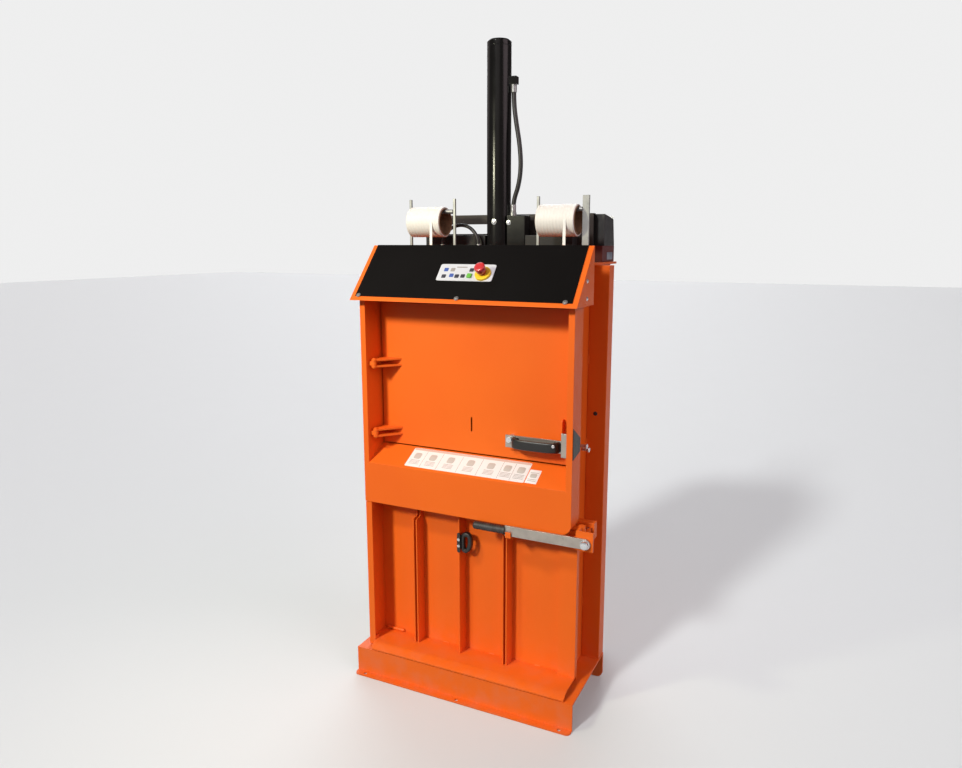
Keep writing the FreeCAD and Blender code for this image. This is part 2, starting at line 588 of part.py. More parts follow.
def rib_plate(name, middle, stepped):
    """One upright rib. A stepped one has its front edge set back near the top."""
    front = "(door_recess - rib_depth)"
    step = f"({TRAY_HIGH} - rib_step_low)"
    low = f"({TRAY_LOW} + ledge_high)"
    high = f"{TRAY_HIGH} - sheet_thick"
    outline = [("door_recess", low), (front, low)]
    if stepped:
        outline += [(front, f"{step} - 8"), (f"{front} + rib_step", step), (f"{front} + rib_step", high)]
    else:
        outline.append((front, high))
    outline += [("door_recess - tray_top_depth", high), ("door_recess", high)]
    return profile(name, "YZ_Plane", outline, f"({middle} - rib_thick / 2)",
                   f"({middle} + rib_thick / 2)")


def ribs():
    for word in ("left", "right"):
        pair = []
        for way in (-1, 1):
            middle = f"(rib_{word} + {way} * (rib_slot + rib_thick) / 2)"
            pair.append(rib_plate(f"rib_{word}_{way + 1}", middle, True))
        node(f"rib_{word}", group(f"rib_{word}", *pair))
    node("rib_middle", rib_plate("rib_middle_plate", "rib_middle", False))


def pull_handle():
    """The D-shaped pull on the right face of the middle rib."""
    left = "(rib_middle + rib_thick / 2)"
    back = "(door_recess - 6)"
    front = "(door_recess - rib_depth - 6)"
    z = ("pull_middle - pull_high / 2", "pull_middle + pull_high / 2")
    outline = [(left, z[0]), (f"{left} + pull_reach * 0.45", z[0]),
               (f"{left} + pull_reach * 0.8", f"{z[0]} + pull_high * 0.25"),
               (f"{left} + pull_reach", f"{z[0]} + pull_high * 0.7"),
               (f"{left} + pull_reach * 0.9", z[1]), (left, z[1])]
    whole = profile("pull_outer", "XZ_Plane", outline, f"{front} + 8", f"{front} + 8 + pull_thick")
    hollow = profile("pull_hollow", "XZ_Plane", [
        (f"{left} + 8", f"{z[0]} + 14"), (f"{left} + pull_reach * 0.45", f"{z[0]} + 14"),
        (f"{left} + pull_reach - 14", f"{z[0]} + pull_high * 0.66"),
        (f"{left} + pull_reach - 14", f"{z[1]} - 14"),
        (f"{left} + 8", f"{z[1]} - 14"),
    ], f"{front} + 7", f"{front} + 9 + pull_thick")
    node("pull_handle", cut("pull_handle", whole, hollow))


def lever_hook():
    """The J-shaped rest for the lever, on the front of the right rib."""
    low = "(lever_high - lever_height / 2 - side_gap)"
    front = "(lever_front - 7)"
    start = "(door_recess - rib_depth + rib_step)"
    left = f"({LEVER_X} - lever_length + hook_aside)"
    x = (left, f"{left} + hook_width")
    hook = profile("lever_hook", "YZ_Plane", [
        (start, f"{low} - 36"), (f"{front} + 4", f"{low} - 8"), (front, f"{low} - 4"),
        (front, f"{low} + 15"),
        (f"{front} + 5", f"{low} + 15"), (f"{front} + 5", low), ("door_recess", low),
        ("door_recess", f"{low} - 50"),
    ], *x)
    node("lever_hook", hook)


def lock():
    bolt = (LEVER_X, "lever_high")
    arm_y = ("lever_front", "lever_front + lever_thick")
    arm_z = ("lever_high - lever_height / 2", "lever_high + lever_height / 2")
    tip = f"({LEVER_X} - lever_length)"
    bar = box("lever_bar", (tip, LEVER_X), arm_y, arm_z)
    tang = box("lever_tang", (f"{tip} - grip_length + 6", tip), arm_y,
               ("lever_high - 9", "lever_high + 9"))
    end = rod("lever_end", "y", "lever_height / 2", bolt, *arm_y)
    bore = rod("lever_bore", "y", "lever_bolt_radius + running_gap", bolt, f"{arm_y[0]} - 1",
               f"{arm_y[1]} + 1")
    node("lock_lever", cut("lock_lever", fuse("lever_whole", bar, tang, end), bore))

    grip = rod("grip_sleeve", "x", "grip_radius", ("lever_front + lever_thick / 2", "lever_high"),
               f"{tip} - grip_length", tip)
    slot = box("grip_slot", (f"{tip} - grip_length + 6", f"{tip} + 1"), arm_y,
               ("lever_high - 9", "lever_high + 9"))
    node("lock_grip", cut("lock_grip", grip, slot))

    plate_y = (f"{arm_y[1]} + side_gap", f"{arm_y[1]} + side_gap + bracket_thick")
    left = f"({LEVER_X} - bracket_inner - 12)"
    plate_z = ("lever_high - bracket_low", "lever_high + bracket_high")
    plate = box("bracket_plate", (f"{LEVER_X} - bracket_inner", f"{LEVER_X} + bracket_outer"),
                plate_y, plate_z)
    shank = rod("bracket_bolt", "y", "lever_bolt_radius", bolt, f"{arm_y[0]} - 2", plate_y[1])
    head = rod("bracket_bolt_head", "y", "lever_bolt_radius + 3", bolt, f"{arm_y[0]} - 9",
               f"{arm_y[0]} - side_gap")
    knuckle = rod("bracket_knuckle", "z", "knuckle_radius", (f"{left} + 4", "knuckle_place"), *plate_z)
    web = box("bracket_web", (left, f"{left} + 16"), plate_y, plate_z)
    link = box("bracket_link", (left, f"{left} + 8"), (plate_y[1], "knuckle_place"), plate_z)
    arm_z = (f"{plate_z[0]} - 8", f"{plate_z[0]} - 8 + bracket_arm")
    arm = box("bracket_arm", (f"{TRAY_OUT} - 20", f"{left} + 6"),
              ("knuckle_place - 6", "knuckle_place + 6"), arm_z)
    root = box("bracket_root", (f"{TRAY_OUT} - 20", TRAY_OUT),
               ("knuckle_place - 6", "door_recess - stile_raise"), arm_z)
    nose = box("bracket_nose", (f"{left} + 4", f"{left} + 14"), ("knuckle_place", "door_recess + 28"),
               ("lever_high - 16", "lever_high + 4"))
    node("lock_bracket", fuse("lock_bracket", plate, shank, head, knuckle, web, link, arm, root, nose))

    x = (WALL_OUT, f"{left} + 24")
    y = ("door_recess + 12", "door_recess + 44")
    block = box("striker_block", x, y, ("lever_high - 34", "lever_high + 22"))
    mouth = box("striker_mouth", (f"{left} + 4 - striker_gap * 2", f"{left} + 14 + striker_gap * 2"),
                ("door_recess", "door_recess + 45"),
                ("lever_high - 16 - striker_gap", "lever_high + 4 + striker_gap"))
    node("lock_striker", cut("lock_striker", block, mouth))


# ---------------------------------------------------------------- press and cylinder


def press():
    side = f"({WALL_IN} - press_gap)"
    y = (f"{CHAMBER_FRONT} + press_gap", "body_depth - wall_thick - press_gap")
    top = "(press_rest + press_thick)"
    plate = box("platen", (f"(-{side})", side), y, ("press_rest", top))
    rib_top = f"({top} + press_rib)"
    ribs_made = [box(f"platen_rib_{i}", (f"(-{side} + 30)", f"{side} - 30"), (place, more(place, 8)),
                     (less(top, 1), rib_top))
                 for i, place in enumerate(("cylinder_place - 46", "cylinder_place + 38"))]
    pad = rod("platen_pad", "z", "rod_radius + 26", (0, "cylinder_place"), less(top, 1), f"{top} + 20")
    sides = [box(f"platen_end_{i}", (low, more(low, 8)), (f"{y[0]} + 20", f"{y[1]} - 20"),
                 (less(top, 1), rib_top))
             for i, low in enumerate((f"(-{side} + 26)", f"({side} - 34)"))]
    grooves = [box(f"platen_groove_{word}", (f"rib_{word} - strap_groove_width / 2",
                                             f"rib_{word} + strap_groove_width / 2"),
                   (f"{y[0]} - 1", f"{y[1]} + 1"), ("press_rest - 1", "press_rest + press_thick / 2"))
               for word in ("left", "middle", "right")]
    node("press_plate", cut("press_plate", fuse("platen_whole", plate, pad, *ribs_made, *sides),
                            *grooves))

    place = (0, "cylinder_place")
    high = "(cylinder_top - cap_height - 14)"
    shaft = rod("rod_shaft", "z", "rod_radius", place, f"{top} + 20", high)
    piston = rod("rod_piston", "z", "cylinder_bore - piston_gap", place, f"{high} - piston_height", high)
    node("piston_rod", fuse("piston_rod", shaft, piston))

    tube = rod("tube_outer", "z", "cylinder_radius", place, ROOF_TOP, "cylinder_top - cap_height")
    bore = rod("tube_bore", "z", "cylinder_bore", place, f"{ROOF_TOP} + 30", "cylinder_top")
    gland = rod("tube_gland", "z", "rod_radius + running_gap", place, f"{ROOF_TOP} - 1",
                f"{ROOF_TOP} + 31")
    port = box("tube_port", ("cylinder_radius - 4", "cylinder_radius + port_size"),
               ("cylinder_place - port_size / 2", "cylinder_place + port_size / 2"),
               ("port_high", "port_high + port_size"))
    node("cylinder_tube", cut("cylinder_tube", fuse("tube_whole", tube, port), bore, gland))

    cone = doc.addObject("Part::Cone", "cap_top")
    bind(cone, "Radius1", "cylinder_radius")
    bind(cone, "Radius2", "cylinder_radius - 5")
    bind(cone, "Height", 6)
    bind(cone, "Placement.Base.y", "cylinder_place")
    bind(cone, "Placement.Base.z", "cylinder_top - 6")
    disc = rod("cap_disc", "z", "cylinder_radius", place, "cylinder_top - cap_height", "cylinder_top - 6")
    node("cylinder_cap", fuse("cylinder_cap", disc, cone))

    block = box("foot_block", ("block_left", "block_right"),
                ("cylinder_place - block_depth / 2", "cylinder_place + block_depth / 2"),
                (ROOF_TOP, "block_top"))
    node("valve_block", block)


def yoke():
    y = ("cylinder_place - arm_width / 2", "cylinder_place + arm_width / 2")
    z = (ROOF_TOP, f"{ROOF_TOP} + arm_high")
    arms = [box("arm_left", ("-arm_length", "-cylinder_radius"), y, z),
            box("arm_right", ("block_right", "arm_length"), y, z)]
    node("yoke_arms", group("yoke_arms", *arms))

    sheet_y = ("screen_front", SCREEN_BACK)
    screen = box("screen_sheet", ("-screen_left", "screen_right"), sheet_y, (ROOF_TOP, "screen_top"))
    window = box("screen_window", ("-window_left", "-window_right"),
                 ("screen_front - 1", f"{SCREEN_BACK} + 1"),
                 (f"{ROOF_TOP} + window_low", "screen_top - screen_bar"))
    lip = box("screen_lip", ("-screen_left", "screen_right"), (SCREEN_BACK, f"{SCREEN_BACK} + 22"),
              ("screen_top - 3", "screen_top"))
    node("rear_screen", fuse("rear_screen", cut("screen_cut", screen, window), lip))


def housing():
    """The low sheet box behind the screen, the black cover on it and the power pack between them."""
    y = (HOUSING_FRONT, "body_depth")
    outer = box("housing_skin", ("-housing_side", "housing_side"), y, (ROOF_TOP, HOUSING_TOP))
    inner = box("housing_hollow", ("-housing_side + 3", "housing_side - 3"),
                (more(y[0], 3), "body_depth - 3"),
                (f"{ROOF_TOP} - 1", f"{HOUSING_TOP} - 3"))
    node("rear_housing", cut("rear_housing", outer, inner))

    front = f"({SCREEN_BACK} + 26)"
    top = f"({HOUSING_TOP} + cover_rise)"
    skin = profile("cover_skin", "YZ_Plane", [
        (front, HOUSING_TOP), (front, top), ("body_depth - 18", f"{top} - cover_fall"),
        ("body_depth - 6", f"{HOUSING_TOP} + 30"), ("body_depth", HOUSING_TOP),
    ], "cover_left", "housing_side")
    hollow = profile("cover_hollow", "YZ_Plane", [
        (f"{front} + 3", f"{HOUSING_TOP} - 1"), (f"{front} + 3", f"{top} - 4"), ("body_depth - 22",
                                                                                 f"{top} - cover_fall - 4"),
        ("body_depth - 10", f"{HOUSING_TOP} + 29"), ("body_depth - 4", f"{HOUSING_TOP} - 1"),
    ], "cover_left + 3", "housing_side - 3")
    node("rear_cover", cut("rear_cover", skin, hollow))

    tank = box("tank_block", ("tank_left", "tank_right"),
               (f"{HOUSING_FRONT} + tank_gap", "body_depth - tank_gap"),
               (HOUSING_TOP, f"{HOUSING_TOP} + tank_high"))
    motor = rod("pump_motor", "x", "motor_radius", (f"({HOUSING_FRONT} + body_depth) / 2 + 12",
                                                    f"{HOUSING_TOP} + motor_radius"),
                "motor_side", "motor_side + motor_length")
    node("power_pack", group("power_pack", tank, motor))


# ---------------------------------------------------------------- strap rolls


def rolls():
    for side, last_post in (("left", "post_width"), ("right", "wide_post")):
        middle = f"{side}_roll"
        place = ("roll_place", "roll_high")
        x = (f"({middle} - roll_length / 2)", f"({middle} + roll_length / 2)")
        skin = rod(f"roll_skin_{side}", "x", "roll_radius", place, *x)
        core = rod(f"roll_core_hole_{side}", "x", "roll_core", place, f"{x[0]} - 1", f"{x[1]} + 1")
        node(f"strap_roll_{side}", cut(f"strap_roll_{side}", skin, core))

        ends = (f"({x[0]} - roll_end_gap)", f"({x[1]} + {side}_post_out)")
        y = ("roll_place - post_thick / 2", "roll_place + post_thick / 2")
        rod_high = "(roll_high + roll_core - roll_rod_radius - side_gap)"
        posts = [box(f"post_{side}_0", (f"{ends[0]} - post_width", ends[0]), y, (ROOF_TOP, "post_top")),
                 box(f"post_{side}_1", (ends[1], f"{ends[1]} + {last_post}"), y, (ROOF_TOP, "post_top"))]
        spindle = rod(f"roll_rod_{side}", "x", "roll_rod_radius", ("roll_place", rod_high), ends[0],
                      ends[1])
        node(f"roll_stand_{side}", group(f"roll_stand_{side}", *posts, spindle))

        tail_x = f"({middle} + roll_length * 0.28)"
        front = "(roll_place - roll_radius - tail_thick - 0.3)"
        tail = box(f"tail_{side}", (f"{tail_x} - tail_width / 2", f"{tail_x} + tail_width / 2"),
                   (front, more(front, "tail_thick")), ("roll_high - tail_length", "roll_high"))
        node(f"strap_tail_{side}", tail)


# ---------------------------------------------------------------- hoses

# The share of the shorter run that an arc takes at each of its ends.
ARC_SHARE = 0.45

# Each hose's route by hand, from one fitting to the other.
HOSES = {
    "cylinder_hose": (16, [(56, 310, 2160), (56, 310, 2098), (68, 304, 2032), (84, 299, 1958),
                           (90, 299, 1884),
                           (80, 303, 1818), (56, 310, 1764), (56, 310, 1725)]),
    "hood_hose": (13, [(-206, 262, 1591), (-206, 262, 1624), (-191, 262, 1654), (-166, 263, 1675),
                       (-132, 264, 1683),
                       (-98, 263, 1676), (-73, 262, 1655), (-58, 262, 1625), (-58, 262, 1592)]),
}


def hose(name, diameter, points):
    """A round tube along straight runs joined by tangent arcs."""
    route = [FreeCAD.Vector(*p) for p in points]
    runs = [(b - a).Length for a, b in zip(route, route[1:])]
    edges = []
    radii = []
    last = route[0]
    for i in range(1, len(route) - 1):
        way_in = (route[i] - route[i - 1]).normalize()
        way_out = (route[i + 1] - route[i]).normalize()
        turn = way_in.getAngle(way_out)
        back = ARC_SHARE * min(runs[i - 1], runs[i])
        radius = back / math.tan(turn / 2)
        radii.append(round(radius))
        start = route[i] - way_in * back
        end = route[i] + way_out * back
        inward = (way_out - way_in).normalize()
        middle = route[i] + inward * (radius / math.cos(turn / 2) - radius)
        edges += [Part.LineSegment(last, start).toShape(), Part.Arc(start, middle, end).toShape()]
        last = end
    edges.append(Part.LineSegment(last, route[-1]).toShape())
    path = Part.Wire(edges)
    ring = Part.Wire(Part.makeCircle(diameter / 2, route[0], route[1] - route[0]))
    shape = path.makePipeShell([ring], True, False)
    item = doc.addObject("Part::Feature", name)
    item.Shape = shape
    expected = math.pi * (diameter / 2) ** 2 * path.Length
    share = shape.Volume / expected
    print(f"{name}: length {path.Length:.1f}, radii {radii}, volume {share:.4f} of expected")
    node(name, item)


def hoses():
    for name, (diameter, points) in HOSES.items():
        hose(name, diameter, points)
    fittings = []
    for i, x in enumerate((-206, -58)):
        fittings.append(rod(f"hose_fitting_{i}", "z", 11, (x, 262), ROOF_TOP, 1591 + i))
    fittings.append(rod("hose_fitting_2", "z", 12, (56, "cylinder_place"), "block_top", 1725))
    node("hose_fittings", group("hose_fittings", *fittings))


def check():
    """Every object has to be sound before anything is written."""
    bad = [o.Name for o in doc.Objects if {"Invalid", "Error"} & set(o.State)]
    for label, item in NODES.items():
        if item.Shape.isNull() or not item.Shape.isValid() or not item.Shape.Solids:
            bad.append(label)
    if bad:
        raise RuntimeError(f"failed: {bad}")


def export():
    os.makedirs("parts", exist_ok=True)
    for label, item in NODES.items():
        item.Shape.exportStep(f"parts/{label}.step")
        print(f"{label}: {len(item.Shape.Solids)} solids, {item.Shape.Volume / 1000:.1f} cm3")


base()
chamber()
columns()
jambs()
shelf()
hood()
controls()
hinge_pairs()
loading_door()
latch()
catch()
tray()
ribs()
pull_handle()
lever_hook()
lock()
press()
yoke()
housing()
rolls()
hoses()
doc.recompute()
check()
export()
print(len(NODES), "nodes")
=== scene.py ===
# %% [markdown]
# # A recycling baler, finished in Blender
# The machine's frame comes from CAD: every sheet, pin and lever is already at its real place and size, in
# metres, with +Z up and the front facing -Y. This lesson gives those parts their finish, replaces the
# ones that CAD left plain, and adds the small things a fitter would put on last: welds, screws, hoses and
# strap.

# %% Load the frame
import json
import math
import bmesh
import bpy
import numpy as np
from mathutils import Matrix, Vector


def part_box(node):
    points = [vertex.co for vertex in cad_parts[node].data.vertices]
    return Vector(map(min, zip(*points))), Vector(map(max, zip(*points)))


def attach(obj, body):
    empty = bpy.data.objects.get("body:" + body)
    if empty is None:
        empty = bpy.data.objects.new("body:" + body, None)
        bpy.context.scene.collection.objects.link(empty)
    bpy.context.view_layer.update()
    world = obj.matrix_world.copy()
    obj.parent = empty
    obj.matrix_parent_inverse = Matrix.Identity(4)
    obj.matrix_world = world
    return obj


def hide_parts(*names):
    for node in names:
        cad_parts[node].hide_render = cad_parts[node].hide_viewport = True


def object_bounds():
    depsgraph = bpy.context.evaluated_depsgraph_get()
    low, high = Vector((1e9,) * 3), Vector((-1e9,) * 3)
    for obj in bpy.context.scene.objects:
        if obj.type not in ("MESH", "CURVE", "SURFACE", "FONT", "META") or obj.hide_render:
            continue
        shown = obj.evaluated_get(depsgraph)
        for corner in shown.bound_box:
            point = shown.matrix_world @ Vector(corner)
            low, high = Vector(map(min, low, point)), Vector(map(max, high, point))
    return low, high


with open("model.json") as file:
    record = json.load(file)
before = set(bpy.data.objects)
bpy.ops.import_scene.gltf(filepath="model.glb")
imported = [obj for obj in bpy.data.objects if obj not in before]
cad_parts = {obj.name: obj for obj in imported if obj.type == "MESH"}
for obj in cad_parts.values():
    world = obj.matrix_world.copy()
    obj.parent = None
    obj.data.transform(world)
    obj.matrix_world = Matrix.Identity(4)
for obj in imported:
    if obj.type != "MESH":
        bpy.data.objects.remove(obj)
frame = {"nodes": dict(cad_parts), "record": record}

BOUNDS_AT_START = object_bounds()
BODY_OF = {node: body for body, nodes in frame["record"]["behaviour"]["bodies"].items() for node in nodes}

# %% [markdown]
# ## The camera
# A person stands to the right of the machine's front and looks slightly down at it from eye height. A
# small shift of the lens frames the machine without turning the camera.

# %% Camera
EYE = (1.1253, -2.1211, 1.6171)
TURN_LEFT = 25.3
LOOK_DOWN = 10.1
SENSOR_MM, FOCAL_MM = 36.0, 27.6
SHIFT = (-0.0064, -0.0099)
lens = bpy.data.cameras.new("eye")
lens.sensor_width = SENSOR_MM
lens.lens = FOCAL_MM
lens.shift_x, lens.shift_y = SHIFT
camera = bpy.data.objects.new("eye", lens)
camera.location = EYE
camera.rotation_euler = (math.radians(90 - LOOK_DOWN), 0, math.radians(TURN_LEFT))
bpy.context.scene.collection.objects.link(camera)
bpy.context.scene.camera = camera

# %% [markdown]
# ## Measuring from the frame
# A piece that replaces or sits on a CAD part takes its place from that part's box. A point is named by
# shares of the box: 0 is its lowest side along an axis and 1 is its highest. Small fixings are set out in
# metres, behind the front plane of the door jambs.

# %% Places in the frame
TOWARDS, BACK, LEFT, RIGHT, UP = (0, -1, 0), (0, 1, 0), (-1, 0, 0), (1, 0, 0), (0, 0, 1)
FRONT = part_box("shelf_beam")[0][1]


def spot(node, x=0.5, y=0.5, z=0.5):
    """The low corner of a node's box plus a share of its size along each axis."""
    low, high = (np.array(corner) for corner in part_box(node))
    return low + (high - low) * np.array([x, y, z])


print(f"door jambs stand {FRONT * 1000:.0f} mm behind the floor holes")

# %% [markdown]
# ## Surfaces from grids
# A lathe-turned knob, a bent bar and a weld are each one function of two parameters: a place along the
# piece and a place around it. Worked out as whole arrays, they give a grid of points, and neighbouring
# points make the faces. Building them this way keeps every shape a formula that can be read and changed.

# %% From a grid of points to a piece
SHARP = math.radians(38)
SAME_POINT = 2e-6


def grid_faces(rows, columns, loop_rows=False):
    """Quads between neighbouring rows and columns. The last column joins the first; rows join if asked."""
    last = rows if loop_rows else rows - 1
    i, j = np.meshgrid(np.arange(last), np.arange(columns), indexing="ij")
    down = (i + 1) % rows
    right = (j + 1) % columns
    quads = [i * columns + j, i * columns + right, down * columns + right, down * columns + j]
    return np.stack(quads, axis=-1).reshape(-1, 4).tolist()


def solid_from_grid(grid, loop_rows=False):
    """A closed form: rows of a closed outline, capped at both ends or joined in a ring."""
    rows, columns = grid.shape[:2]
    faces = grid_faces(rows, columns, loop_rows)
    if not loop_rows:
        faces.append(list(range(columns))[::-1])
        faces.append([(rows - 1) * columns + j for j in range(columns)])
    return grid.reshape(-1, 3), faces


def piece(name, forms, material, body, replaces=()):
    """One object from a list of (vertices, faces) forms, riding on a body."""
    vertices = []
    faces = []
    for points, polygons in forms:
        start = len(vertices)
        vertices.extend(points.tolist())
        faces.extend([[k + start for k in polygon] for polygon in polygons])
    mesh = bpy.data.meshes.new(name)
    mesh.from_pydata(vertices, [], faces)
    work = bmesh.new()
    work.from_mesh(mesh)
    bmesh.ops.remove_doubles(work, verts=work.verts, dist=SAME_POINT)
    bmesh.ops.recalc_face_normals(work, faces=work.faces)
    work.to_mesh(mesh)
    work.free()
    mesh.shade_smooth()
    mesh.set_sharp_from_angle(angle=SHARP)
    mesh.materials.append(material)
    made = bpy.data.objects.new(name, mesh)
    bpy.context.scene.collection.objects.link(made)
    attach(made, body)
    if replaces:
        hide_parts(*replaces)
    print(f"{name}: {len(mesh.polygons)} faces on {body}")
    return made


def finish_node(name, forms, material, node):
    """A piece that takes the place of one CAD node, on its body."""
    return piece(name, forms, material, BODY_OF[node], [node])


# %% [markdown]
# ## Turned and carried forms
# Two generators make nearly everything. *Turned* spins a profile round an axis, as a lathe does.
# *Carried* takes a closed outline along a path and keeps it square to the path, as a bent bar keeps its
# section.

# %% Turned and carried forms
def basis(axis):
    """Two directions square to an axis and to each other."""
    axis = np.array(axis, float) / np.linalg.norm(axis)
    helper = np.array([0.0, 0.0, 1.0]) if abs(axis[2]) < 0.9 else np.array([1.0, 0.0, 0.0])
    side = np.cross(helper, axis)
    side /= np.linalg.norm(side)
    return axis, side, np.cross(axis, side)


def turned(profile, centre, axis, around=48, loop=False):
    """Point(i, a) = centre + height_i * axis + radius_i * (cos a * side + sin a * other side)."""
    axis, side, other = basis(axis)
    radius, height = np.array(profile, float).T
    angle = np.linspace(0, 2 * math.pi, around, endpoint=False)
    spin = np.cos(angle)[:, None] * side + np.sin(angle)[:, None] * other
    grid = np.array(centre) + height[:, None, None] * axis + radius[:, None, None] * spin
    return solid_from_grid(grid, loop)


def carried(path, outline, up, scale=None, loop=False):
    """Point(i, j) = path_i + scale_i * (outline_j.x * side_i + outline_j.y * up_i), square to the path."""
    path = np.array(path, float)
    if loop:
        ahead = np.roll(path, -1, axis=0) - np.roll(path, 1, axis=0)
    else:
        ahead = np.gradient(path, axis=0)
    ahead /= np.linalg.norm(ahead, axis=1)[:, None]
    side = np.cross(ahead, np.array(up, float))
    side /= np.linalg.norm(side, axis=1)[:, None]
    rise = np.cross(side, ahead)
    outline = np.array(outline, float)
    factor = np.ones(len(path)) if scale is None else scale
    flat = outline[None, :, 0, None] * side[:, None, :] + outline[None, :, 1, None] * rise[:, None, :]
    return solid_from_grid(path[:, None, :] + factor[:, None, None] * flat, loop)


def rounded(half_width, half_height, power=4.0, count=32):
    """A superellipse: x = a * sign(cos) * |cos|^(2/n), y = b * sign(sin) * |sin|^(2/n)."""
    angle = np.linspace(0, 2 * math.pi, count, endpoint=False)
    across, along = np.cos(angle), np.sin(angle)
    x = half_width * np.sign(across) * np.abs(across) ** (2 / power)
    y = half_height * np.sign(along) * np.abs(along) ** (2 / power)
    return np.stack([x, y], axis=-1)


def slab(centre, across, along, outline, thickness):
    """A flat plate: a closed outline set out along two directions, with a little round-over at its edges."""
    across, along = np.array(across, float), np.array(along, float)
    out = np.cross(across, along)
    ease = min(0.3 * thickness, 0.0008)
    reach = np.abs(outline).max()
    levels = [(0, 1.0), (thickness - ease, 1.0), (thickness - 0.3 * ease, 1 - 0.3 * ease / reach),
              (thickness, 1 - ease / reach)]
    rows = [np.array(centre) + high * out + grow * (outline[:, :1] * across + outline[:, 1:] * along)
            for high, grow in levels]
    return solid_from_grid(np.stack(rows))


# %% [markdown]
# ## Shader maths
# A finish is a formula over the surface. Blender's formulas are node trees, which are slow to read, so
# one small class wraps a socket and lets Python's own operators add the Math nodes. Everything else goes
# through one method that makes a node, sets it and links it.

# %% A socket that can be added and multiplied
# The colour sockets of the Mix node, by number, since its sockets share their names.
MIX_FIRST, MIX_SECOND, MIX_RESULT = 6, 7, 2


class Value:
    """A socket in a material's tree. An operator on it adds one Math node."""

    def __init__(self, paint, socket):
        self.paint = paint
        self.socket = socket

    def maths(self, operation, first, second):
        return self.paint.add("ShaderNodeMath", {"operation": operation}, {0: first, 1: second})

    def __add__(self, other):
        return self.maths("ADD", self, other)

    def __rsub__(self, other):
        return self.maths("SUBTRACT", other, self)

    def __mul__(self, other):
        return self.maths("MULTIPLY", self, other)

    __radd__ = __add__
    __rmul__ = __mul__


class Paint:
    """One material: its node tree, the place on the surface, and the Principled shader at its end."""

    def __init__(self, name):
        self.material = bpy.data.materials.new(name)
        self.material.use_nodes = True
        self.tree = self.material.node_tree
        self.tree.nodes.clear()
        self.place = self.add("ShaderNodeTexCoord", output="Object")

    def add(self, kind, settings=None, inputs=None, output=0):
        """Makes a node, sets it, links or fills its inputs and gives one output."""
        made = self.tree.nodes.new(kind)
        for key, setting in (settings or {}).items():
            setattr(made, key, setting)
        for key, value in (inputs or {}).items():
            if isinstance(value, Value):
                self.tree.links.new(value.socket, made.inputs[key])
            else:
                made.inputs[key].default_value = value
        return Value(self, made.outputs[output])

    def noise(self, scale, detail=3.0, stretch=(1, 1, 1)):
        """Smooth noise, about 0.5 on average. stretch thins it along an axis."""
        where = self.add("ShaderNodeMapping", None, {"Vector": self.place, "Scale": stretch})
        return self.add("ShaderNodeTexNoise", None, {"Vector": where, "Scale": scale, "Detail": detail})

    def ramp(self, value, low, high):
        """0 below low, 1 above high and smooth between."""
        return self.add("ShaderNodeMapRange", {"interpolation_type": "SMOOTHSTEP"},
                        {"Value": value, "From Min": low, "From Max": high})

    def mix(self, factor, first, second):
        """Colour first where factor is 0 and second where it is 1."""
        inputs = {"Factor": factor, MIX_FIRST: first, MIX_SECOND: second}
        return self.add("ShaderNodeMix", {"data_type": "RGBA"}, inputs, output=MIX_RESULT)

    def axis(self, letter):
        return self.add("ShaderNodeSeparateXYZ", None, {0: self.place}, output=letter)

    def finish(self, colour, roughness, height=None, depth=0.001, **fixed):
        """Ends the tree. height is a bump, depth its size in metres; fixed goes to the shader's sockets."""
        inputs = {"Base Color": colour, "Roughness": roughness}
        if height is not None:
            inputs["Normal"] = self.add("ShaderNodeBump", None, {"Height": height, "Distance": depth})
        inputs.update(fixed)
        shader = self.add("ShaderNodeBsdfPrincipled", None, inputs)
        end = self.tree.nodes.new("ShaderNodeOutputMaterial")
        self.tree.links.new(shader.socket, end.inputs["Surface"])
        return self.material


def rgb(red, green, blue):
    return (red, green, blue, 1.0)


# %% [markdown]
# ## Powder-coated steel
# The body is welded steel sheet with a bright orange powder coat. Powder melts into a skin with a fine
# orange peel: low waves a few millimetres across. The tone drifts a little from panel to panel, dust
# settles on the low parts, and fine darker specks are scattered through it. Noise at three sizes gives
# all of these.

# %% Paint finishes
def powder_coat(name, colour, deep, dust=0.25, rough=0.42, peel=0.00025, gloss=0.25):
    """Colour = mix(colour, deep, slow noise), greyed near the floor; height = fine noise."""
    paint = Paint(name)
    drift = paint.ramp(paint.noise(2.3, 2.0), 0.3, 0.75)
    speck = paint.ramp(paint.noise(160.0, 4.0), 0.68, 0.78)
    low = 1.0 - paint.ramp(paint.axis("Z"), 0.0, 0.28)
    settled = low * paint.ramp(paint.noise(22.0, 5.0), 0.35, 0.75) * dust
    tone = paint.mix(drift * 0.55, colour, deep)
    tone = paint.mix(speck * 0.18, tone, deep)
    dusty = tuple(0.6 * part + 0.12 for part in colour[:3]) + (1.0,)
    tone = paint.mix(settled, tone, dusty)
    height = paint.noise(260.0, 2.0) + paint.noise(900.0, 1.0) * 0.3
    shine = paint.noise(14.0, 4.0) * 0.14 + (rough - 0.07) + settled * 0.3
    return paint.finish(tone, shine, height, peel, **{"Specular IOR Level": gloss})


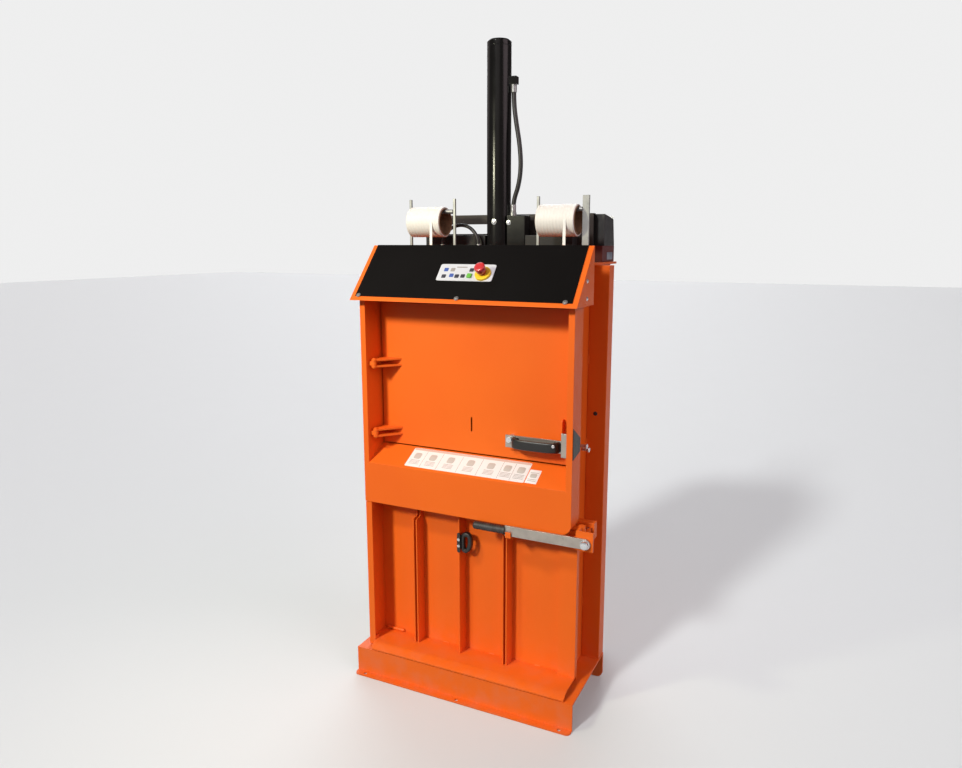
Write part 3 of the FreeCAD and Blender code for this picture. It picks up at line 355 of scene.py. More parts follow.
ORANGE = powder_coat("orange_powder_coat", rgb(0.80, 0.140, 0.012), rgb(0.74, 0.112, 0.010))
DARK_RED = powder_coat("maroon_powder_coat", rgb(0.105, 0.014, 0.012), rgb(0.07, 0.011, 0.010), 0.0)
BLACK_PAINT = powder_coat("black_powder_coat", rgb(0.013, 0.012, 0.012), rgb(0.022, 0.020, 0.020), 0.0, 0.42)
SCREEN_PAINT = powder_coat("brown_grey_coat", rgb(0.030, 0.024, 0.021), rgb(0.045, 0.036, 0.031), 0.0, 0.5)
CONSOLE = powder_coat("console_black", rgb(0.0040, 0.0034, 0.0034), rgb(0.006, 0.0055, 0.0055), 0.0, 0.55,
                      0.00012, 0.05)
GLOSS_BLACK = powder_coat("cylinder_gloss_black", rgb(0.005, 0.005, 0.005), rgb(0.009, 0.008, 0.008), 0.0,
                          0.2, 0.00008, 0.3)
print("painted finishes ready")

# %% [markdown]
# ## Bare metal
# The latch bar, the hand lever and the strap stands are zinc-plated flat bar. Rolled bar has fine lines
# along its length and a slightly cloudy, warm grey plating. Stretching the noise along one axis gives the
# lines, and a slow noise gives the clouds.

# %% Metal finishes
def plated(name, colour, cloud, rough, lines=(1, 1, 1)):
    """Metallic colour = mix(colour, cloud, slow noise); height and roughness = noise along the bar."""
    paint = Paint(name)
    clouds = paint.ramp(paint.noise(30.0, 5.0), 0.3, 0.8)
    streak = paint.noise(420.0, 3.0, lines)
    mark = paint.ramp(paint.noise(75.0, 6.0), 0.62, 0.72)
    tone = paint.mix(clouds * 0.7, colour, cloud)
    tone = paint.mix(mark * 0.25, tone, tuple(0.45 * part for part in colour[:3]) + (1.0,))
    shine = clouds * 0.12 + streak * 0.12 + (rough - 0.12)
    return paint.finish(tone, shine, streak, 0.0001, Metallic=0.85)


ZINC = plated("zinc_flat_bar", rgb(0.44, 0.40, 0.35), rgb(0.34, 0.31, 0.275), 0.42, (0.04, 1, 1))
# The strap stands: zinc with its lines running up the posts, in a darker, greyer tone that is painted shade.
SHADE_DARKENED_POST_ZINC = plated("zinc_post_painted_shade", rgb(0.30, 0.30, 0.295), rgb(0.22, 0.22, 0.215), 0.5, (1, 1, 0.05))
BRIGHT_ZINC = plated("bright_zinc_screw", rgb(0.68, 0.69, 0.70), rgb(0.54, 0.55, 0.57), 0.26)
CHROME = plated("chromed_rod", rgb(0.72, 0.72, 0.73), rgb(0.66, 0.66, 0.67), 0.16)
GREY_STEEL = plated("turned_steel", rgb(0.36, 0.36, 0.36), rgb(0.27, 0.27, 0.27), 0.4)

# %% [markdown]
# ## Plastic, rubber, card and strap
# Moulded handles have a fine leathery grain. Rubber is duller and picks up dust. Polyester strap is white
# with long fibres along it, and the rolls it is wound on are brown card.

# %% Other finishes
def moulded(name, colour, rough, grain=700.0, depth=0.00012, dust=0.0, coat=0.0):
    """Colour with a little dust in slow patches; height = fine noise."""
    paint = Paint(name)
    patch = paint.ramp(paint.noise(38.0, 5.0), 0.45, 0.8)
    pale = tuple(min(1.0, 0.75 * part + 0.09) for part in colour[:3]) + (1.0,)
    tone = paint.mix(patch * dust, colour, pale)
    shine = paint.noise(60.0, 3.0) * 0.16 + (rough - 0.08)
    return paint.finish(tone, shine, paint.noise(grain, 3.0), depth, **{"Coat Weight": coat})


def wound_strap(name):
    """White strap in tight turns: height = a fine wave across the roll plus fibre noise along the strap;
    colour is darker in the hollows between turns, which is painted shade.
    """
    paint = Paint(name)
    wave = {"Vector": paint.place, "Scale": 95.0, "Distortion": 0.6, "Detail": 2.0, "Detail Scale": 2.0}
    turn = paint.add("ShaderNodeTexWave", {"bands_direction": "X", "wave_profile": "SIN"}, wave, output=1)
    fibre = paint.noise(500.0, 3.0, (1, 0.08, 0.08))
    # Painted shade: the hollows between the turns take the darker colour.
    painted_groove_shade = paint.ramp(turn, 0.02, 0.3)
    tone = paint.mix(painted_groove_shade, rgb(0.60, 0.55, 0.49), rgb(0.84, 0.82, 0.79))
    tone = paint.mix(paint.noise(16.0, 4.0) * 0.35, tone, rgb(0.76, 0.71, 0.66))
    return paint.finish(tone, fibre * 0.2 + 0.38, turn * 0.8 + fibre * 0.4, 0.0004)


def flat_strap(name):
    """One white strap: fibres run down it, so the noise is stretched along Z."""
    paint = Paint(name)
    fibre = paint.noise(900.0, 3.0, (1, 1, 0.05))
    tone = paint.mix(fibre, rgb(0.88, 0.87, 0.85), rgb(0.74, 0.72, 0.68))
    return paint.finish(tone, fibre * 0.25 + 0.35, fibre, 0.0003)


def card(name):
    """Spiral-wound card tube: brown, with soft bands and fibres."""
    paint = Paint(name)
    band = paint.noise(60.0, 4.0, (1, 0.3, 0.3))
    tone = paint.mix(paint.ramp(band, 0.3, 0.7), rgb(0.17, 0.085, 0.04), rgb(0.27, 0.15, 0.08))
    return paint.finish(tone, band * 0.15 + 0.75, paint.noise(300.0, 4.0), 0.0003)


BLACK_PLASTIC = moulded("black_moulded_plastic", rgb(0.010, 0.009, 0.008), 0.36, 520.0, 0.0002, 0.10)
COVER_PLASTIC = moulded("black_cover_plastic", rgb(0.012, 0.012, 0.012), 0.45, 300.0, 0.0002, 0.12)
GRIP_RUBBER = moulded("grip_rubber", rgb(0.014, 0.013, 0.012), 0.52, 420.0, 0.0003, 0.25)
HOSE_RUBBER = moulded("hose_rubber", rgb(0.012, 0.011, 0.011), 0.42, 900.0, 0.0002, 0.10)
FILM = moulded("panel_film", rgb(0.56, 0.57, 0.62), 0.4, 800.0, 0.00005, 0.10)
LABEL = moulded("printed_label", rgb(0.80, 0.80, 0.80), 0.45, 500.0, 0.00005, 0.15)
LABEL_PINK = moulded("label_header", rgb(0.66, 0.47, 0.41), 0.45, 500.0, 0.00005, 0.10)
LABEL_GREY = moulded("label_ink", rgb(0.30, 0.28, 0.27), 0.45, 500.0, 0.00005, 0.0)
RED = moulded("stop_red", rgb(0.52, 0.024, 0.030), 0.34, 400.0, 0.00006, 0.12, 0.3)
YELLOW = moulded("ring_yellow", rgb(0.78, 0.52, 0.02), 0.4, 400.0, 0.00006, 0.08)
GREEN = moulded("key_green", rgb(0.12, 0.42, 0.05), 0.4, 400.0, 0.00006, 0.05)
KEY_BLUE = moulded("key_blue", rgb(0.05, 0.10, 0.36), 0.4, 400.0, 0.00006, 0.05)
LABEL_SOFT = moulded("label_panel_grey", rgb(0.52, 0.50, 0.47), 0.45, 500.0, 0.00005, 0.0)
LABEL_BLUE = moulded("plate_blue_grey", rgb(0.16, 0.20, 0.25), 0.4, 500.0, 0.00005, 0.05)
KEY_DARK = moulded("key_dark", rgb(0.035, 0.035, 0.05), 0.4, 400.0, 0.00006, 0.05)
ROLL_STRAP = wound_strap("wound_strap")
TAIL_STRAP = flat_strap("hanging_strap")
CARD = card("card_core")
print(len(bpy.data.materials), "finishes in all")

# %% [markdown]
# ## The hoses
# Two rubber hoses show. One feeds oil to the top of the cylinder and stands off it in a long bow. The
# other leaves the hood's rear, arches over and comes down beside the cylinder. Both are held at their two
# ends, so their length is fixed. Each route is a short list of points, and a smooth spline runs along it.

# %% Hoses as smooth splines
HOSE_ROUTES = {
    "cylinder_hose": (0.016, 0.4434, [
        (0.056, 0.310, 2.160), (0.056, 0.310, 2.098), (0.068, 0.304, 2.032), (0.084, 0.299, 1.958),
        (0.090, 0.299, 1.884), (0.080, 0.303, 1.818), (0.056, 0.310, 1.764), (0.056, 0.310, 1.725)]),
    "hood_hose": (0.013, 0.2645, [
        (-0.206, 0.262, 1.591), (-0.206, 0.262, 1.624), (-0.191, 0.262, 1.654), (-0.166, 0.263, 1.675),
        (-0.132, 0.264, 1.683), (-0.098, 0.263, 1.676), (-0.073, 0.262, 1.655), (-0.058, 0.262, 1.625),
        (-0.058, 0.262, 1.592)]),
}


def ferrule(end, axis, radius, length):
    """A crimped sleeve: a cylinder with six shallow rings pressed into it."""
    along = np.linspace(0, 1, 60)
    ring = 1 - 0.06 * (0.5 - 0.5 * np.cos(2 * math.pi * 6 * along))
    edge = np.clip(np.minimum(along, 1 - along) / 0.05, 0, 1) ** 0.5
    profile = np.stack([radius * ring * (0.86 + 0.14 * edge), along * length], axis=-1)
    return turned(profile, end, axis, 32)


def hose(name, diameter, route):
    """A round spline along the route, with a crimped sleeve at each end."""
    points = [(x, y + FRONT, z) for x, y, z in route]
    curve = bpy.data.curves.new(name, "CURVE")
    curve.dimensions = "3D"
    spline = curve.splines.new("NURBS")
    spline.points.add(len(points) - 1)
    for point, (x, y, z) in zip(spline.points, points):
        point.co = (x, y, z, 1.0)
    spline.order_u = 3
    spline.use_endpoint_u = True
    spline.resolution_u = 14
    curve.bevel_depth = diameter / 2
    curve.bevel_resolution = 6
    curve.use_fill_caps = True
    curve.materials.append(HOSE_RUBBER)
    made = bpy.data.objects.new(f"{name}_rubber", curve)
    bpy.context.scene.collection.objects.link(made)
    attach(made, BODY_OF[name])
    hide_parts(name)
    sleeves = []
    for end, inner in ((points[0], points[1]), (points[-1], points[-2])):
        way = np.array(inner) - np.array(end)
        sleeves.append(ferrule(end, way, diameter * 0.66, diameter * 1.7))
    crimps = piece(f"{name}_ferrules", sleeves, GREY_STEEL, BODY_OF[name])


for name, (diameter, length, route) in HOSE_ROUTES.items():
    hose(name, diameter, route)

# %% [markdown]
# ## Strap rolls
# Each roll is white strap wound on a card tube, hung on a rod above the hood. The winding is a ring whose
# outer side carries the ridges of the strap's turns, and the tube stands a little proud of it at both
# ends. A loose end of strap hangs down from the front of each roll.

# %% Strap rolls and their tails
CORE_WALL = 0.0035
CORE_PROUD = 0.002
CORE_INSET = 0.009
TURN_PITCH = 0.011
TURN_DEPTH = 0.0005
EDGE_EASE = 0.0012
STRAP_WIDE, STRAP_THICK = 0.010, 0.001


def winding(radius, inner, length):
    """Radius = R - 0.5 mm * (1 + cos(2 pi h / pitch)) / 2, eased at both ends, then back along the inside."""
    place = np.linspace(-length / 2, length / 2, 121)
    ridge = TURN_DEPTH * (0.5 + 0.5 * np.cos(2 * math.pi * place / TURN_PITCH))
    edge = np.clip((length / 2 - np.abs(place)) / 0.0016, 0, 1)
    outer = radius - ridge - EDGE_EASE * (1 - np.sqrt(edge * (2 - edge)))
    inside = np.linspace(length / 2, -length / 2, 9)
    return np.concatenate([np.stack([outer, place], axis=-1), np.stack([np.full(9, inner), inside], axis=-1)])


def strap_roll(side):
    """The winding, its card tube and the strap end that hangs from it."""
    node = f"strap_roll_{side}"
    middle = spot(node)
    size = spot(node, 1, 1, 1) - spot(node, 0, 0, 0)
    core_out = size[2] / 2 - CORE_INSET + CORE_WALL
    length = size[0]
    wound = turned(winding(size[2] / 2, core_out, length), middle, RIGHT, 96, True)
    ring = finish_node(f"strap_winding_{side}", [wound], ROLL_STRAP, node)
    half = length / 2 + CORE_PROUD
    tube = [(core_out, -half), (core_out, half), (core_out - CORE_WALL, half), (core_out - CORE_WALL, -half)]
    piece(f"card_core_{side}", [turned(tube, middle, RIGHT, 72, True)], CARD, BODY_OF[node])

    tail = f"strap_tail_{side}"
    top, foot = spot(tail, 0.5, 0.5, 1), spot(tail, 0.5, 0.5, 0)
    share = np.linspace(0, 1, 30)[:, None]
    sway = np.array([0.0012, -0.0030, 0]) * share ** 2 + np.array([0, 0.0004, 0]) * np.sin(9 * share)
    section = rounded(STRAP_WIDE / 2, STRAP_THICK / 2, 8, 20)
    hanging = carried(top + (foot - top) * share + sway, section, TOWARDS)
    strap = finish_node(f"{tail}_strap", [hanging], TAIL_STRAP, tail)


for side in ("left", "right"):
    strap_roll(side)

# %% [markdown]
# ## Handles
# The latch is lifted by a black bow, the bale door is pulled by a closed loop on its middle rib, and the
# lock lever ends in a ribbed rubber grip. A bow is half a superellipse: near its feet it leaves the bar
# square on, and it runs straight in the middle, where the fingers go.

# %% Handles and grip
BOW_THICK, PULL_THICK = 0.0055, 0.0080
GRIP_RADIUS, GRIP_RINGS = 0.0135, 13


def latch_bow():
    """Half a superellipse with its feet on the bar, a little thicker near them."""
    low, high = spot("latch_grip", 0, 0, 0), spot("latch_grip", 1, 1, 1)
    angle = np.linspace(math.pi, 0, 60)
    reach = high[1] - low[1] - BOW_THICK
    across = (high[0] - low[0]) / 2 - BOW_THICK
    middle = (low + high) / 2
    x = middle[0] + across * np.sign(np.cos(angle)) * np.abs(np.cos(angle)) ** 0.55
    y = high[1] - reach * np.sin(angle) ** 0.6
    path = np.stack([x, y, np.full_like(x, middle[2])], axis=-1)
    swell = 1 + 0.12 * np.cos(angle) ** 6
    section = rounded(BOW_THICK, 0.42 * (high[2] - low[2]), 3.2, 28)
    feet = [slab((x_foot, high[1], middle[2]), RIGHT, UP, rounded(0.013, 0.017, 5), 0.004)
            for x_foot in (low[0] + 0.010, high[0] - 0.010)]
    bow = carried(path, section, UP, swell)
    finish_node("latch_bow", [bow, *feet], BLACK_PLASTIC, "latch_grip")


def door_pull():
    """A closed superellipse loop whose lower right side leans in."""
    low, high = spot("pull_handle", 0, 0, 0), spot("pull_handle", 1, 1, 1)
    middle = (low + high) / 2
    half_x, half_z = (high[0] - low[0]) / 2, (high[2] - low[2]) / 2
    angle = np.linspace(0, 2 * math.pi, 88, endpoint=False)
    across, along = np.cos(angle), np.sin(angle)
    x = middle[0] + (half_x - PULL_THICK) * np.sign(across) * np.abs(across) ** 0.62
    z = middle[2] + (half_z - PULL_THICK) * np.sign(along) * np.abs(along) ** 0.62
    x = x - 0.009 * np.clip((middle[2] - z) / half_z, 0, 1) * (x > middle[0])
    path = np.stack([x, np.full_like(x, middle[1]), z], axis=-1)
    section = rounded(PULL_THICK, 0.45 * (high[1] - low[1]), 3.0, 28)
    finish_node("door_pull", [carried(path, section, BACK, loop=True)], BLACK_PLASTIC, "pull_handle")


def lever_grip():
    """A tube with rings pressed into it, domed at its free end and with a collar at the other."""
    start, end = spot("lock_grip", 0, 0.5, 0.5), spot("lock_grip", 1, 0.5, 0.5)
    length = end[0] - start[0]
    place = np.linspace(0, 1, 120)
    wave = 0.5 - 0.5 * np.cos(2 * math.pi * GRIP_RINGS * place)
    ring = 1 - 0.045 * wave * (place > 0.08) * (place < 0.93)
    dome = np.sqrt(np.clip(1 - (1 - np.clip(place / 0.07, 0, 1)) ** 2, 0, 1))
    collar = 1 + 0.08 * (place > 0.945)
    profile = np.stack([GRIP_RADIUS * ring * dome * collar, place * length], axis=-1)
    finish_node("lever_grip", [turned(profile, start, RIGHT)], GRIP_RUBBER, "lock_grip")


latch_bow()
door_pull()
lever_grip()

# %% [markdown]
# ## The controls
# The buttons sit square to the sloping face of the hood, so each one is placed by how far it is along the
# hood, how far up the slope and how far off it. The slope's direction is the way the stop button travels.

# %% Buttons, keys and film
PUSH = [joint for joint in frame["record"]["behaviour"]["joints"] if joint["name"] == "stop_push"][0]
SLOPE_OUT = np.array(PUSH["axis"], float)
SLOPE_UP = np.array([0, SLOPE_OUT[2], -SLOPE_OUT[1]])
HOOD_FOOT = spot("hood_shell", 0.5, 0, 0)
PANEL_FACE = 0.003
FILM_FACE = 0.0045
KEY_SUNK, KEY_THICK = 0.0002, 0.0008


def on_hood(x, along, out=0.0):
    """x across the hood, along up its slope from the front edge, and out from its face."""
    return np.array([x, HOOD_FOOT[1], HOOD_FOOT[2]]) + along * SLOPE_UP + out * SLOPE_OUT


STOP = (0.066, 0.122)
START = (0.018, 0.113)
FILM_MIDDLE = (0, 0.128)
KEY_RAISED = 0.0008
stop_rise = [(0.009, 0.011), (0.009, 0.020), (0.0150, 0.0205), (0.0166, 0.0225), (0.0172, 0.028),
             (0.0180, 0.036), (0.0186, 0.0405), (0.0182, 0.0435), (0.0165, 0.0455), (0.012, 0.0466),
             (0.006, 0.0470), (0.0, 0.0470)]
mushroom = turned(stop_rise, on_hood(*STOP), SLOPE_OUT, 64)
finish_node("stop_mushroom", [mushroom], RED, "stop_button")
ring_rise = [(0.0280, 0.0045), (0.0280, 0.0105), (0.0272, 0.0120), (0.0255, 0.0125), (0.0125, 0.0125),
             (0.0105, 0.0118), (0.0095, 0.0105), (0.0095, 0.0045)]
ring = turned(ring_rise, on_hood(*STOP), SLOPE_OUT, 64, True)
finish_node("stop_ring", [ring], YELLOW, "stop_collar")
key_tile = rounded(0.0085, 0.0085, 7)
start_place = on_hood(*START, FILM_FACE + KEY_RAISED)
start_tile = slab(start_place, RIGHT, SLOPE_UP, key_tile, 0.0045)
finish_node("start_tile", [start_tile], GREEN, "start_key")
film_outline = rounded(0.1035, 0.0355, 18, 96)
film_sheet = slab(on_hood(*FILM_MIDDLE, PANEL_FACE), RIGHT, SLOPE_UP, film_outline, FILM_FACE - PANEL_FACE)
finish_node("key_film", [film_sheet], FILM, "control_label")


def tiles(name, material, places, half_width=0.0080, half_height=0.0075):
    """Flat printed keys on the film."""
    outline = rounded(half_width, half_height, 7)
    forms = [slab(on_hood(x, along, FILM_FACE - KEY_SUNK), RIGHT, SLOPE_UP, outline, KEY_THICK)
             for x, along in places]
    piece(name, forms, material, "frame")


tiles("keys_blue", KEY_BLUE, [(-0.077, 0.139), (-0.050, 0.115)])
tiles("keys_dark", KEY_DARK, [(-0.078, 0.111), (-0.029, 0.112), (-0.007, 0.113), (0.019, 0.139)])
tiles("keys_grey", LABEL_GREY, [(0.034, 0.141), (-0.052, 0.139)])
tiles("film_bands", LABEL_GREY, [(-0.020, 0.150)], 0.020, 0.0020)

# %% [markdown]
# ## Plain labels
# A strip of plain panels lies on the sloping shelf under the loading door, with a square one beside it,
# and a small plate is on the housing's side. They hold ruled panels only.

# %% Labels on the shelf and the housing
SHELF_RUN, SHELF_CLIMB = 0.100, 0.053
SHELF_RISE = np.array([0, SHELF_RUN, SHELF_CLIMB]) / math.hypot(SHELF_RUN, SHELF_CLIMB)
SHELF_EDGE = np.array([0, FRONT, 0.826])
LABEL_GAP, LABEL_TOP, INK_THICK = 0.00005, 0.0005, 0.00012


def on_shelf(x, along, out):
    """x across the shelf, along up its slope from the front edge, and out from its face."""
    return np.array([x, 0, 0]) + SHELF_EDGE + along * SHELF_RISE + out * np.cross(RIGHT, SHELF_RISE)


def shelf_tile(x, along, half_x, half_along, out=LABEL_TOP, thick=INK_THICK, power=40):
    """A flat tile on the shelf, x across it and along up its slope. Printed tiles lie on the label's top."""
    return slab(on_shelf(x, along, out), RIGHT, SHELF_RISE, rounded(half_x, half_along, power, 64), thick)


STRIP = (-0.0035, 0.0577)
SQUARE = (0.2515, 0.0442)
RULES = (-0.175, -0.109, -0.030, 0.048, 0.127, 0.174)
PANELS = (-0.205, -0.142, -0.070, 0.009, 0.0875, 0.1505, 0.201)
strip_sheet = shelf_tile(*STRIP, 0.2315, 0.0475, LABEL_GAP, LABEL_TOP)
square_sheet = shelf_tile(*SQUARE, 0.0205, 0.0317, LABEL_GAP, LABEL_TOP)
piece("shelf_strip", [strip_sheet, square_sheet], LABEL, "frame")
header = shelf_tile(STRIP[0], STRIP[1] + 0.0415, 0.2290, 0.0048)
piece("strip_header", [header], LABEL_PINK, "frame")
rules = [shelf_tile(x, STRIP[1] - 0.005, 0.0006, 0.040) for x in RULES]
blocks = [shelf_tile(x, STRIP[1] + 0.008, 0.014, 0.015, power=4) for x in PANELS]
lines = [shelf_tile(x, STRIP[1] - drop, 0.019, 0.0009)
         for x in PANELS for drop in (0.014, 0.020, 0.026, 0.032)]
lines += [shelf_tile(SQUARE[0], SQUARE[1] + rise, 0.015, 0.0009) for rise in (-0.020, -0.013, 0.018)]
piece("strip_rules", rules + lines, LABEL_GREY, "frame")
square_block = shelf_tile(SQUARE[0], 0.0485, 0.012, 0.010, power=4)
piece("strip_blocks", [*blocks, square_block], LABEL_SOFT, "frame")
plate_place = (spot("rear_housing", 1)[0], FRONT + 0.457, 1.572)
plate = slab(plate_place, BACK, UP, rounded(0.036, 0.013, 12, 48), 0.0008)
piece("housing_plate", [plate], LABEL_BLUE, "frame")

# %% [markdown]
# ## Screws, bolts and plugs
# Every fixing is a profile spun round its own axis. A pan head has a flat washer, a short side and a shallow
# dome. A bolt's head is the same spin with six sides.

# %% Fixings
def dome_head(centre, axis, radius=0.006, rise=0.0035):
    """Radius and height of a pan head on its washer."""
    washer = [(radius * 1.35, -0.0006), (radius * 1.35, 0.0007), (radius, 0.0009)]
    dome = [(radius, rise * 0.55), (radius * 0.86, rise * 0.86), (radius * 0.5, rise), (radius * 0.2, rise)]
    dimple = [(radius * 0.16, rise * 0.7), (0.0, rise * 0.7)]
    return turned(washer + dome + dimple, centre, axis, 28)


def hex_head(centre, axis):
    """A six-sided head with a dull edge on a round washer."""
    radius, rise = 0.008, 0.006
    washer = turned([(radius * 1.3, -0.0005), (radius * 1.3, 0.0012), (0.0, 0.0012)], centre, axis, 28)
    bar = [(radius, 0.0010), (radius, rise - 0.0006), (radius * 0.92, rise), (0.0, rise)]
    return [washer, turned(bar, centre, axis, 6)]


BACK_FACE = spot("rear_cover", 0.5, 1, 0.5)[1]
console_screws = [dome_head(on_hood(x, 0.021, PANEL_FACE), SLOPE_OUT) for x in (-0.386, -0.001, 0.375)]
piece("console_screws", console_screws, GREY_STEEL, "frame")
screws = [dome_head((way * spot("hood_shell", 1)[0], FRONT + 0.060, z), (way, 0, 0), 0.0055)
           for way in (-1, 1) for z in (1.445, 1.500)]
screws += [dome_head((spot("rear_cover", x)[0], BACK_FACE, spot("rear_cover", z=z)[2]), BACK)
           for x in (0.05, 0.95) for z in (0.10, 0.90)]
screws.append(dome_head((0.0, spot("cylinder_tube", y=0)[1], 1.692), TOWARDS, 0.007, 0.005))
screws.append(dome_head((0.050, spot("valve_block", y=0)[1], 1.689), TOWARDS, 0.006, 0.004))
piece("frame_screws", screws, BRIGHT_ZINC, "frame")

bolts = []
for x, axis in ((0.400, RIGHT), (-0.400, LEFT)):
    bolts += hex_head((x, FRONT + 0.040, 1.440), axis)
stud = [(0.0055, -0.001), (0.0055, 0.020), (0.0085, 0.0205), (0.0085, 0.0255), (0.0075, 0.0265),
        (0.0, 0.0265)]
for y, z in ((0.128, 0.948), (0.152, 0.930)):
    bolts.append(turned(stud, (spot("chamber_side_right", 1)[0], FRONT + y, z), RIGHT, 24))
piece("jamb_bolts", bolts, BRIGHT_ZINC, "frame")

plug = [(0.0, -0.0005), (0.0075, -0.0005), (0.0075, 0.0004), (0.0060, 0.0010), (0.0, 0.0012)]
plugs = [turned(plug, (way * 0.391, spot("column_right", y=0)[1], 1.029), TOWARDS, 24) for way in (-1, 1)]
piece("column_plugs", plugs, COVER_PLASTIC, "frame")

lever_end = (0.455, FRONT - 0.0205, 0.665)
pivot_rise = [(0.0165, -0.0005), (0.0165, 0.0015), (0.0138, 0.0022), (0.0138, 0.0100), (0.0125, 0.0125),
              (0.008, 0.0140), (0.0, 0.0143)]
pivot = turned(pivot_rise, lever_end, TOWARDS, 40)
piece("lever_pivot_bolt", [pivot], BRIGHT_ZINC, "bale_door")
pull_x, rib_face = spot("rib_middle", 0.5, 0, 0)[:2] + (0.001, 0)
pull_screws = [dome_head((pull_x, rib_face - 0.0042, z), TOWARDS, 0.0038, 0.0024) for z in (0.547, 0.571)]
piece("pull_screws", pull_screws, BRIGHT_ZINC, "bale_door")
flange = slab((pull_x, rib_face, 0.559), RIGHT, UP, rounded(0.0065, 0.037, 5), 0.0040)
piece("pull_flange", [flange], BLACK_PLASTIC, "bale_door")
lug = slab((0.3365, FRONT + 0.0838, 1.011), BACK, UP, rounded(0.0122, 0.032, 6), 0.003)
piece("latch_guide", [lug], ORANGE, "loading_door")
grip_screw = dome_head((0.323, FRONT + 0.0300, 0.962), TOWARDS, 0.004, 0.002)
piece("grip_screw", [grip_screw], BRIGHT_ZINC, "latch")

# %% [markdown]
# ## Weld beads
# Sheets meet in short fillet welds. A bead is a rod whose thickness rises and falls as the welder's hand
# does, so it is one outline carried along the joint with a rippled scale.

# %% Welds
def bead(start, end, radius=0.0030, pitch=0.0042):
    """Scale = 0.85 + 0.15 |sin(pi s / pitch)|, closed by a round end at both ends."""
    start, end = np.array(start, float), np.array(end, float)
    length = np.linalg.norm(end - start)
    count = max(12, int(length / pitch * 5))
    share = np.linspace(0, 1, count)
    ripple = 0.85 + 0.15 * np.abs(np.sin(math.pi * share * length / pitch))
    close = np.sqrt(np.clip(np.minimum(share, 1 - share) * length / radius, 0.02, 1))
    outline = rounded(radius, radius, 2.0, 12)
    up = UP if abs(end[2] - start[2]) < 0.5 * length else BACK
    return carried(start + (end - start) * share[:, None], outline, up, ripple * close)


LEDGE = spot("rib_middle", z=0)[2]
PANEL_Y = FRONT + 0.100
COLUMN_Y = (FRONT + 0.270, FRONT + 0.326)
corner_y, corner_z = PANEL_Y - 0.005, LEDGE + 0.006
door_beads = [bead((-0.380, corner_y, corner_z), (-0.300, corner_y, corner_z), 0.0065, 0.012)]
for rib in ("rib_left", "rib_middle", "rib_right"):
    low, high = spot(rib, 0, 0, 0), spot(rib, 1, 1, 1)
    for x in (low[0], high[0]):
        door_beads.append(bead((x, PANEL_Y - 0.040, LEDGE), (x, PANEL_Y - 0.012, LEDGE)))
        for z in (0.20, 0.33, 0.46, 0.58):
            door_beads.append(bead((x, PANEL_Y, z), (x, PANEL_Y, z + 0.028), 0.0025))
for x in (-0.13, 0.06, 0.24, 0.34):
    door_beads.append(bead((x, PANEL_Y - 0.001, LEDGE), (x + 0.026, PANEL_Y - 0.001, LEDGE)))
piece("bale_door_welds", door_beads, ORANGE, "bale_door")

frame_beads = []
for way in (-1, 1):
    side = way * 0.4005
    frame_beads.append(bead((side * 0.90, COLUMN_Y[0], 0.101), (side * 1.05, COLUMN_Y[0], 0.101)))
    for z in (0.30, 0.60, 0.90, 1.20, 1.45):
        for y in COLUMN_Y:
            frame_beads.append(bead((way * 0.361, y, z), (way * 0.361, y, z + 0.035)))
piece("frame_welds", frame_beads, ORANGE, "frame")

# %% [markdown]
# ## Sheets with folded edges
# CAD gives dead-sharp edges, and real sheet has none: a fold has a small radius and a cut edge is dulled
# by the paint. In a copy of each CAD part the flat triangles are joined, and a Bevel modifier rounds the
# edges that are left. Normals weighted by area then keep the flats flat, and the edges catch the light.
# Widths are in mm.

# %% Ease the edges of CAD parts
EASED = [
    (ORANGE, {
        "base_front": 2.0, "base_plate": 2.0, "foot_plates": 1.0, "column_left": 3.0, "column_right": 3.0,
        "chamber_side_left": 1.0, "chamber_side_right": 1.0, "chamber_rear": 1.0, "chamber_floor": 1.0,
        "jamb_left": 1.2, "jamb_right": 1.2, "shelf_beam": 1.5, "hood_shell": 1.5, "loading_door_panel": 1.2,
        "door_hinge_upper": 1.0, "door_hinge_lower": 1.0,
        "door_knuckle_upper": 0.8, "door_knuckle_lower": 0.8,
        "bale_door_tray": 1.2, "rib_left": 1.2, "rib_middle": 1.2, "rib_right": 1.2, "lever_hook": 1.2,
        "lock_bracket": 1.2, "lock_striker": 1.2, "chamber_roof": 1.0}),
    (ZINC, {"latch_bar": 0.8, "lock_lever": 1.0, "catch_plate": 0.8}),
    (SHADE_DARKENED_POST_ZINC, {"roll_stand_left": 0.8, "roll_stand_right": 0.8}),
    (BLACK_PAINT, {"yoke_arms": 2.5, "power_pack": 3.0}),
    (CONSOLE, {"console_panel": 0.8}),
    (SCREEN_PAINT, {"rear_screen": 1.0, "press_plate": 1.0}),
    (DARK_RED, {"rear_housing": 2.0}),
    (COVER_PLASTIC, {"rear_cover": 3.0, "jamb_cover": 0.6}),
    (GLOSS_BLACK, {"cylinder_tube": 1.0, "cylinder_cap": 1.5, "valve_block": 1.5}),
]
FLAT_WITHIN = math.radians(0.5)
FOLD_OVER = math.radians(32)
CAD_SAME_POINT = 1e-5
MM = 0.001


